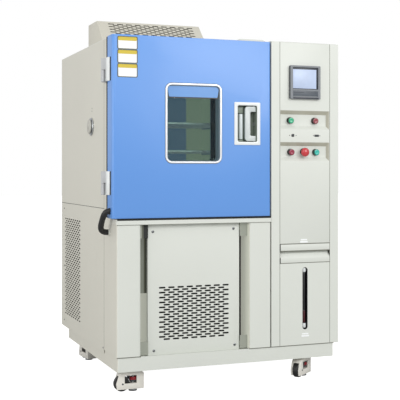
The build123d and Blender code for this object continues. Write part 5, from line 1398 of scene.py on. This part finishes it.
        # Left, upper and lower flanks of the lever: painted shade.
        draft.repaint(LEVER_FLANK_SHADE, lambda f: f.normal.y < 0.3 and (f.normal.x < -0.3 or abs(f.normal.z) > 0.4)
                      and (f.calc_center_median().x < left + 14
                           or abs(f.calc_center_median().z - z) > half - 12))
        for side in (-1, 1):
            draft.disc((axis_x, 13, z + side * (half + 3)), 4.0, 8, STEEL, Axis.Z, 0.4, 16)
        draft.build("lever", "latch_lever")

    @staticmethod
    def _outside(edge: BMEdge, left: float, end: float, mid: float, half: float) -> bool:
        """Tells whether an edge of the lever's front lies on its outer line, free of the hinged end."""
        centre = (edge.verts[0].co + edge.verts[1].co) / 2
        return centre.x < left + 14 or (abs(centre.z - mid) > half - 14 and centre.x < end - 6)

    def _seal(self) -> None:
        """Makes the rubber seal with a lip between two beads."""
        x, z = (self.x0 + self.x1) / 2, (self.z0 + self.z1) / 2
        w, h = self.x1 - self.x0 - 0.6, self.z1 - self.z0 - 0.6
        draft = Draft("door_seal")
        with draft.shape(RUBBER) as bm:
            face = rounded_face(bm, (x, self.depth, z), w, h, 4.0, steps=3)
            hollow(bm, face, self.seal_w)
            push(bm, list(bm.faces), (0, self.seal_deep, 0))
            bmesh.ops.recalc_face_normals(bm, faces=bm.faces)
            sides = [f for f in bm.faces if abs(f.normal.y) < 0.3]
            bmesh.ops.inset_region(bm, faces=sides, thickness=4.0, depth=-2.0, use_even_offset=True)
            round_edges(bm, sharp_edges(bm, 60), 0.8, 2)
        draft.build("door", "door_gasket")

    def _hinges(self) -> None:
        """Makes the two hinges: one piece on the door, one on the body."""
        px, py = self.pin
        door, body = Draft("door_hinges"), Draft("body_hinges")
        for z in self.hinge_z:
            low, high = z - self.hinge_half, z + self.hinge_half
            # Dark strip on the door's edge beside the leaf: painted shadow of the leaf.
            door.block((-20.9, 24, low), (-20.0, 41, high), GAP, 0.0)
            with door.shape(WHITE) as bm:
                verts = cube(bm, (-29, 40, low), (-20, 84, high))
                nose = [v for v in verts if v.co.x < -28 and v.co.y < 41]
                bmesh.ops.translate(bm, vec=(0, 9, 0), verts=nose)
                round_edges(bm, sharp_edges(bm, 20), 1.2, 3)
            with door.shape(HINGE_SHADE) as bm:
                verts = cube(bm, (-42, 75, z + 0.3), (-22, 107, high))
                for vert in verts:
                    if vert.co.y < 80:
                        vert.co.x = -29 if vert.co.x < -30 else -20.5
                    else:
                        vert.co.x = -41 if vert.co.x < -30 else -30
                round_edges(bm, list(bm.edges), 0.8, 2)
            door.turned((px, py, z), self.upper_knuckle, HINGE_SHADE, Axis.Z)
            with body.shape(HINGE_SHADE) as bm:
                cube(bm, (-9, 133, low), (0, 174, high))
                round_edges(bm, list(bm.edges), 1.0, 3)
            with body.shape(HINGE_SHADE) as bm:
                verts = cube(bm, (-31, 103, low), (0, 142, z - 0.3))
                knuckle = [v for v in verts if v.co.y < 104]
                bmesh.ops.scale(bm, vec=(0, 0.9, 1), space=Matrix.Translation((31, -110, 0)), verts=knuckle)
                bmesh.ops.remove_doubles(bm, verts=bm.verts, dist=0.01)
            body.turned((px, py, z), self.lower_knuckle, HINGE_SHADE, Axis.Z)
            body.turned((px, py, z), self.hinge_pin, STEEL, Axis.Z, 24)
            body.block((-9.6, 146, low + 14), (-9.0, 156, high - 14), WHITE, 0.2)
        door.build("door", "door_hinge_leaves")
        body.build("cabinet", "body_hinge_leaves")

    def _cards(self) -> None:
        """Makes the three blank cards with a coloured header."""
        draft = Draft("door_cards")
        for top, low in self.cards:
            mid, height = (top + low) / 2, top - low
            draft.plate((49, -0.6, mid), 93, height, 6.0, 0.6, OLIVE, edge=0.0, steps=3)
            draft.plate((49, -0.8, mid), 85, height - 7, 4.0, 0.3, PAPER, edge=0.0, steps=3)
            draft.plate((49, -1.0, top - 11.5), 85, 16, 4.0, 0.3, YELLOW, edge=0.0, steps=3)
        draft.build("door")


@dataclass
class Column:
    """Control column: fascia, controller, buttons, sockets, drawer and gauge.

    Attributes:
        left: left edge of its panels.
        right: right edge of its panels.
        fascia_z: lower and upper edge of the fascia.
        recess_tops: upper edge of each recess.
        recess_h: height of a recess.
        recess_deep: its depth.
        buttons: name, place from the middle, row and finish of each push button.
        screen_box: left, right, lower and upper edge of the controller.
        drawer_z: lower and upper edge of the drawer's front.
        gauge_mid: middle of the water gauge.
        controller_y: face of the controller.
        screen_cut: width, height and depth of the screen's opening.
        flap_cut: width, height and depth of the key flap's opening.
        socket_x: place of each socket from the middle.
        socket_z: height of the sockets.
        tube_y: depth of the sight tube's axis.
        tube_ends: place of its two fittings from its middle.
        slot_size: width, height and end radius of the gauge's slot.
        bezel: profile of a push button's bezel.
        collar: profile of the stop's collar.
        cap_face: profile of a push button's face.
        cap_skirt: profile of its side, in a painted shade of its colour.
        cap_stem: profile of its stem.
        stop_head: profile of the stop's head and stem.
        fitting: profile of the sight tube's upper fitting.
    """

    left: float = 790.8
    right: float = 1054.2
    fascia_z: tuple[float, float] = (637.0, 1585.0)
    recess_tops: tuple[float, float] = (1265.5, 1116.4)
    recess_h: float = 89.5
    recess_deep: float = 20.0
    buttons: tuple[tuple[str, float, int, Finish], ...] = (
        ("green", -74.0, 0, GREEN), ("red", 55.5, 0, RED),
        ("crimson", -71.0, 1, CRIMSON), ("teal", 61.5, 1, TEAL))
    screen_box: tuple[float, float, float, float] = (838.6, 997.0, 1319.5, 1477.0)
    drawer_z: tuple[float, float] = (547.0, 636.0)
    gauge_mid: tuple[float, float] = (922.5, 378.0)
    controller_y: float = -15.0
    screen_cut: tuple[float, float, float] = (134.0, 103.0, 6.0)
    flap_cut: tuple[float, float, float] = (134.0, 32.0, 1.2)
    socket_x: tuple[float, float] = (-64.5, 61.5)
    socket_z: float = 1148.0
    tube_y: float = 16.0
    tube_ends: tuple[float, float] = (-130.0, 135.0)
    slot_size: tuple[float, float, float] = (27.0, 293.5, 13.4)
    bezel: Profile = ((7.2, 0), (15.5, 0), (15.5, -2), (15, -3), (14.6, -5.2), (14, -6), (13.6, -6),
                      (13.3, -5.4), (13.3, -1.5), (7.2, -1.5), (7.2, 0))
    collar: Profile = ((9.2, 0), (17, 0), (17, -2), (16, -4), (15, -13), (14, -14), (9.2, -14), (9.2, 0))
    cap_face: Profile = ((0.01, 1.2), (6, 1.0), (10.4, 0.3), (12.8, 0.9))
    cap_skirt: Profile = ((12.8, 0.9), (14.2, 2.2), (14.8, 4.4), (14.9, 8.6), (11.0, 9.2), (11.0, 13),
                          (0.01, 13))
    cap_stem: Profile = ((0.01, 0), (5.0, 0), (5.0, 37), (0.01, 37))
    stop_head: Profile = ((0.01, 0), (8, 0.4), (14, 2.2), (18.5, 5.4), (20.6, 9.2), (21, 12.5), (20, 15.4),
                          (17, 16), (9, 16), (9, 66), (0.01, 66))
    fitting: Profile = ((7.6, -11), (9.5, -11), (10.2, -8), (11, -7), (11, 5), (9.5, 9), (6, 11), (0.01, 11))

    @property
    def mid(self) -> float:
        """Middle of the column's panels."""
        return (self.left + self.right) / 2

    def recess_mid(self, row: int) -> float:
        """Height of the middle of one recess."""
        return self.recess_tops[row] - self.recess_h / 2

    def build(self) -> None:
        """Makes all pieces of the column."""
        self._fascia()
        self._controller()
        self._fittings()
        self._buttons()
        self._drawer()
        self._gauge()
        dress(STEEL, "water_tank")
        dress(ZINC, "drawer_runners")

    def _fascia(self) -> None:
        """Makes the long fascia with its two pressed recesses."""
        z0, z1 = self.fascia_z
        draft = Draft("fascia_sheet")
        with draft.shape(ENAMEL) as bm:
            width = self.right - self.left
            mouth_w = width - 5
            face = rounded_face(bm, (self.mid, 0, (z0 + z1) / 2), width, z1 - z0, 0.0)
            outer = list(face.edges)
            mouths = [opening(bm, (self.mid, 0, self.recess_mid(row)), mouth_w, self.recess_h, 0.0)
                      for row in (0, 1)]
            pierce(bm, face, mouths[0] + mouths[1])
            for row, mouth in enumerate(mouths):
                made = bmesh.ops.extrude_edge_only(bm, edges=mouth)["geom"]
                ring = [g for g in made if isinstance(g, BMVert)]
                centre = Vector((self.mid, 0, self.recess_mid(row)))
                bmesh.ops.translate(bm, vec=-centre, verts=ring)
                bmesh.ops.scale(bm, vec=(1 - 16 / mouth_w, 1, 1 - 36 / self.recess_h), verts=ring)
                bmesh.ops.translate(bm, vec=centre + Vector((0, self.recess_deep, 0)), verts=ring)
                bmesh.ops.holes_fill(bm, edges=[g for g in made if isinstance(g, BMEdge)], sides=0)
            fold_back(bm, outer, 2)
            bmesh.ops.recalc_face_normals(bm, faces=bm.faces)
            round_edges(bm, sharp_edges(bm, 15), 1.2, 3)
            bmesh.ops.solidify(bm, geom=bm.faces[:], thickness=0.8)
        # Down- and left-facing slopes of the recesses: painted shade.
        draft.repaint(RECESS_SLOPE_SHADE, lambda f: 1.5 < f.calc_center_median().y < 19.5
                      and (f.normal.z < -0.3 or f.normal.x < -0.3))
        draft.build("cabinet", "control_fascia", smooth=25.0)

    def _controller(self) -> None:
        """Makes the panel controller with its lit screen and key flap."""
        x0, x1, z0, z1 = self.screen_box
        mid, y = (x0 + x1) / 2, self.controller_y
        draft = Draft("controller_unit")
        with draft.shape(GREY) as bm:
            face = rounded_face(bm, (mid, y, (z0 + z1) / 2), x1 - x0, z1 - z0, 4.0, steps=3)
            outer = list(face.edges)
            w, h, screen_deep = self.screen_cut
            window = opening(bm, (mid + 1, y, z1 - 60), w, h, 2.0, steps=2)
            w, h, flap_deep = self.flap_cut
            flap = opening(bm, (mid + 1, y, z0 + 24), w, h, 2.0, steps=2)
            pierce(bm, face, window + flap)
            fold_back(bm, window, screen_deep, close=True)
            fold_back(bm, flap, flap_deep, close=True)
            fold_back(bm, outer, -y, close=True)
            bmesh.ops.recalc_face_normals(bm, faces=bm.faces)
            rims = [e for e in sharp_edges(bm, 50) if all(v.co.y < y + 0.1 for v in e.verts)]
            round_edges(bm, rims, 1.0, 3)
        # Left side of the controller: painted shade in dark grey.
        draft.repaint(DARK_GREY, lambda f: f.normal.x < -0.5 and f.calc_center_median().x < x0 + 1)
        draft.block((mid - 65.6, -11.5, z1 - 111), (mid + 67.6, -9.2, z1 - 9), BEZEL, 0.3)
        draft.block((mid - 65, -12.4, z1 - 108), (mid + 58, -11.0, z1 - 18), SCREEN, 0.3)
        draft.block((mid - 64, -15.0, z0 + 12), (mid + 66, -13.6, z0 + 38), SLATE, 0.8)
        draft.block((mid - 60, -15.3, z0 + 29.5), (mid - 8, -14.8, z0 + 32), BEZEL, 0.2)
        draft.block((mid + 2, -15.3, z0 + 29.5), (mid + 60, -14.8, z0 + 31), BEZEL, 0.2)
        draft.block((mid - 60, -15.4, z0 + 12.8), (mid + 62, -14.9, z0 + 14.2), KEYS, 0.2)
        draft.block((x0 + 14, -15.2, z0 + 1), (x1 - 10, -14.6, z0 + 8), BEZEL, 0.2)
        draft.block((x0 + 8, 0.2, z0 + 8), (x1 - 8, 60, z1 - 8), BLACK, 1.0)
        draft.build("cabinet", "controller")

    def _fittings(self) -> None:
        """Makes the bezels, the stop's collar and the two sockets with their screws."""
        draft = Draft("fascia_hardware")
        floor = self.recess_deep
        for _, offset, row, _ in self.buttons:
            x, z = self.mid + offset, self.recess_mid(row)
            draft.turned((x + 2, floor, z - 1.5), self.bezel, BLACK)
            draft.turned((x, floor, z), sleeve(5.2, 10.6, 34), BLACK)
        z = self.recess_mid(1)
        draft.turned((self.mid, floor, z), self.collar, BLACK)
        draft.turned((self.mid, floor, z), sleeve(9.2, 10.7, 34), BLACK)
        (left, right), z = (self.mid + x for x in self.socket_x), self.socket_z
        draft.plate((left, -1.5, z), 14, 13, 3.0, 3, BLACK, edge=0.4)
        draft.disc((left, -1.7, z), 3.5, 0.8, DARK_GREY, edge=0.1, segments=16)
        draft.plate((right, -1.5, z), 24, 10, 2.0, 3, DARK_GREY, edge=0.4)
        draft.block((right - 8.5, -1.8, z - 2), (right + 8.5, -1.3, z + 2), BLACK, 0.1)
        for x in (left, right):
            for side in (-1, 1):
                draft.screw((x + side * 17, 0, z), 2.2, DARK_SCREW)
        draft.build("cabinet", "fascia_fittings")

    def _buttons(self) -> None:
        """Makes the four push buttons and the emergency stop."""
        for name, offset, row, finish in self.buttons:
            draft = Draft(f"push_{name}")
            x, z = self.mid + offset, self.recess_mid(row)
            # Side and stem of each cap: the cap's colour at half strength, painted shade.
            deep = replace(finish, name=f"{finish.name}_side", colour=shaded(finish.colour, 0.5), glow=0.0)
            draft.turned((x + 3, 0.6, z - 2.5), self.cap_face, finish)
            draft.turned((x + 3, 0.6, z - 2.5), self.cap_skirt, deep)
            draft.turned((x, 14, z), self.cap_stem, deep)
            draft.build(f"push_{name}", f"button_{name}")
        draft = Draft("stop_head")
        draft.turned((self.mid - 2, -17, self.recess_mid(1) - 2.5), self.stop_head, STOP_RED, steps=48)
        draft.build("stop", "emergency_stop")

    def _drawer(self) -> None:
        """Makes the drawer front with its slanted finger pull, and the basin."""
        z0, z1 = self.drawer_z
        draft = Draft("drawer_front")
        with draft.shape(ENAMEL) as bm:
            outline = ((0, z1), (0, z1 - 30.5), (25, z1 - 30.5), (0, z1 - 65), (0, z0), (2, z0),
                       (2, z1 - 63), (31, z1 - 28.5), (2, z1 - 28.5), (2, z1))
            verts = [bm.verts.new((self.left + 0.3, y, z)) for y, z in outline]
            face = bm.faces.new(verts)
            push(bm, [face], (self.right - self.left - 0.6, 0, 0))
            bmesh.ops.recalc_face_normals(bm, faces=bm.faces)
            round_edges(bm, edges_along(bm, 0), 0.7, 2)
        x0, x1 = self.left + 11, self.right - 11
        with draft.shape(STEEL) as bm:
            cube(bm, (x0, 31.2, z0 + 13), (x1, 325, z0 + 75))
            open_side(bm, (0, 0, 1))
            round_edges(bm, sharp_edges(bm, 60), 6.0, 4)
            bmesh.ops.recalc_face_normals(bm, faces=bm.faces)
            bmesh.ops.solidify(bm, geom=bm.faces[:], thickness=2.0)
        draft.build("drawer", "fill_drawer")

    def _gauge(self) -> None:
        """Makes the sight tube with its fittings, the slot's black lining and the two tags."""
        (x, z), y = self.gauge_mid, self.tube_y
        draft = Draft("water_gauge")
        draft.disc((x, y, z + 2), 7.5, 256, CLEAR, Axis.Z, 0.4, 24)
        draft.disc((x, y, z - 88), 7.7, 58, WATER, Axis.Z, 0.2, 20)
        draft.disc((x, y, z + 31), 7.7, 176, BLACK, Axis.Z, 0.2, 20)
        lower, upper = (z + end for end in self.tube_ends)
        turned_over = tuple((r, -h) for r, h in reversed(self.fitting))
        for end, profile in ((lower, turned_over), (upper, self.fitting)):
            draft.turned((x, y, end), profile, WHITE, Axis.Z)
            draft.disc((x, y + 7, end), 7.0, 14, ZINC, Axis.Y, 0.4, 20)
        draft.build("cabinet", "sight_gauge")
        w, h, r = self.slot_size
        lining = Draft("gauge_lining")
        lining.plate((x, 1.0, z), w, h, r, 27.5, BLACK, edge=0.2, hole=1.0)
        lining.plate((x, 27.5, z), w, h, r, 1.0, BLACK, edge=0.0)
        for tag_x, tag_z in ((x + 1, 206), (x - 6, 651)):
            lining.plate((tag_x, -0.5, tag_z + 5), 34, 6, 2.0, 0.5, PAPER, edge=0.0, steps=3)
            lining.plate((tag_x, -0.5, tag_z - 5), 40, 8, 2.0, 0.5, PAPER, edge=0.0, steps=3)
        lining.build("cabinet")


@dataclass
class Port:
    """Cable port on the left side, with its plug.

    Attributes:
        y: depth of its axis.
        z: height of its axis.
        screw_spread: place of its four screws from the axis.
        ring: profile of the flange.
        stopper: profile of the plug.
    """

    y: float = 443.6
    z: float = 1194.0
    screw_spread: tuple[float, float] = (15.0, 31.0)
    ring: Profile = ((25, 0), (41, 0), (43, -1), (43, -3.5), (41, -6), (30, -6), (28.5, -9), (26, -9),
                     (25, -8), (25, 0))
    stopper: Profile = ((0.01, -20.3), (10, -20.3), (12, -19.4), (13, -17), (26, -16.5), (31, -15.5),
                        (33.4, -13.5), (34, -11.5), (33.6, -9.6), (24.6, -9.4), (24.6, 66), (23, 67.6),
                        (0.01, 67.6))

    def build(self) -> None:
        """Makes the flange with its screws, and the plug."""
        flange = Draft("port_ring")
        flange.turned((0, self.y, self.z), self.ring, STEEL, Axis.X, 48)
        flange.turned((0, self.y, self.z), sleeve(25, 28, 112), STEEL, Axis.X, 32)
        dy, dz = self.screw_spread
        for y in (self.y - dy, self.y + dy):
            for z in (self.z + dz, self.z - dz):
                flange.screw((-6, y, z), 4.0, axis=Axis.X)
        for z in (1268, 1281):
            flange.disc((-0.5, self.y - 10, z), 2.2, 1.0, DARK_SCREW, Axis.X, 0.2, 12)
        flange.build("cabinet", "port_flange")
        plug = Draft("port_stopper")
        plug.turned((0, self.y, self.z), self.stopper, STOPPER, Axis.X, 48)
        plug.build("cable_port_plug", "port_plug")


@dataclass
class Caster:
    """One levelling caster, shaped about its swivel axis and turned to its place.

    Attributes:
        site: corner of the body, as in the CAD names.
        x: place of the swivel axis, to the right.
        y: place of the swivel axis, back.
        angle: direction of its tail, in degrees.
        cap: place of an axle cap from the swivel axis.
        foot_x: place of the levelling foot from the swivel axis.
        dial_z: height of the red dial's middle.
        dial_r: radius of the dial between its ribs.
    """

    site: str
    x: float
    y: float
    angle: float
    cap: Point = (-37.0, 23.6, 35.0)
    foot_x: float = 16.0
    dial_z: float = 56.0
    dial_r: float = 18.4

    def build(self) -> None:
        """Makes the housing with its axle caps and partition, the wheel, and the foot with its dial."""
        turn = Matrix.Rotation(math.radians(self.angle - 180), 4, "Z")
        place = Matrix.Translation((self.x, self.y, 0)) @ turn
        renew(f"caster_{self.site}", CREAM, f"caster_housing_{self.site}", radius=1.2)
        dress(NYLON, f"caster_wheel_{self.site}")
        axle = Draft(f"axle_caps_{self.site}")
        x, y, z = self.cap
        for side in (-1, 1):
            axle.disc((x, side * y, z), 4.2, 1.2, DARK_GREY, Axis.Y, 0.3, 16)
        axle.block((-6.5, -21, 54), (-5.0, 21, 75.5), DARK_GREY, 0.0)
        axle.turn(place)
        axle.build(f"caster_{self.site}")
        foot = Draft(f"levelling_screw_{self.site}")
        x = self.foot_x
        foot.disc((x, 0, 1.5), 19, 3.0, RUBBER, Axis.Z, 0.4)
        foot.disc((x, 0, 5.0), 18.6, 4.0, ZINC, Axis.Z, 1.2)
        foot.disc((x, 0, 36.5), 5.9, 59, ZINC, Axis.Z, 0.4, 20)
        foot.disc((x, 0, 46.5), 16.5, 7.0, DARK_GREY, Axis.Z, 0.8, 30)
        with foot.shape(DIAL) as bm:
            bmesh.ops.create_cone(bm, cap_ends=True, segments=30, radius1=self.dial_r, radius2=self.dial_r,
                                  depth=12)
            ribs = [f for f in bm.faces if abs(f.normal.z) < 0.5][::3]
            made = bmesh.ops.extrude_discrete_faces(bm, faces=ribs)["faces"]
            for face in made:
                bmesh.ops.translate(bm, vec=face.normal * 1.5, verts=list(face.verts))
            bmesh.ops.translate(bm, vec=(x, 0, self.dial_z), verts=bm.verts)
        foot.turn(place)
        foot.build(f"foot_{self.site}", f"levelling_foot_{self.site}")


@dataclass
class Machinery:
    """Inner parts that show through the grilles, the side gaps and the open door.

    Attributes:
        tone_x: where the baffle's two painted reflections, the dim and the bright one, meet.
        sheen: lower and upper corner of the glowing sheet on the liner's right wall, a painted reflection of
            the baffle's bright part.
    """

    tone_x: float = 542.0
    sheen: tuple[Point, Point] = ((632.0, 430.0, 867.0), (632.4, 599.5, 1486.0))

    def build(self) -> None:
        """Dresses the inner parts, and adds the thin glowing sheet on the liner's right wall, a painted
        reflection.
        """
        renew("cabinet", LINER_GLOW, "chamber_liner")
        self._baffle()
        # Thin glowing sheet on the liner's right wall: painted reflection of the baffle's bright part.
        sheen = Draft("liner_painted_reflection")
        sheen.block(*self.sheen, BAFFLE_BRIGHT_REFLECTION, 0.0)
        sheen.build("cabinet")
        dress(FOAM, "insulation")
        dress(IRON, "compressor")
        dress(FINS, "evaporator_coil", "circulation_fan")
        dress(COIL, "condenser")
        dress(FAN, "condenser_fan")
        dress(MOTOR, "fan_motor")
        renew("lower_rack", RACK_GLOW, "shelf_lower")
        renew("upper_rack", RACK_GLOW, "shelf_upper")

    def _baffle(self) -> None:
        """Makes the rear baffle in two glowing tones, painted reflections of the dim and the lit wall."""
        draft = Draft("air_baffle_sheet")
        with draft.shape(BAFFLE_DIM_REFLECTION, clean=False) as bm:
            take_node(bm, "air_baffle")
            bmesh.ops.bisect_plane(bm, geom=bm.verts[:] + bm.edges[:] + bm.faces[:],
                                   plane_co=(self.tone_x, 0, 0), plane_no=(1, 0, 0))
            bmesh.ops.recalc_face_normals(bm, faces=bm.faces)
        # Right part of the baffle: the bright painted reflection.
        draft.repaint(BAFFLE_BRIGHT_REFLECTION, lambda f: f.calc_center_median().x > self.tone_x)
        draft.build("cabinet", "air_baffle")


def main() -> None:
    """Builds the whole object."""
    logging.basicConfig(level=logging.INFO, format="%(name)s: %(message)s")
    Studio().build()
    Conduit().build()
    sections = [Skins(), Door(), Column(), Port(), Machinery()]
    sections += [Caster("front_left", 75, 60, 180), Caster("front_right", 932, 60, 218),
                 Caster("rear_left", 75, 815, 98), Caster("rear_right", 932, 815, 200)]
    for section in sections:
        section.build()
        LOG.info("%s done", type(section).__name__)


if __name__ == "__main__":
    main()
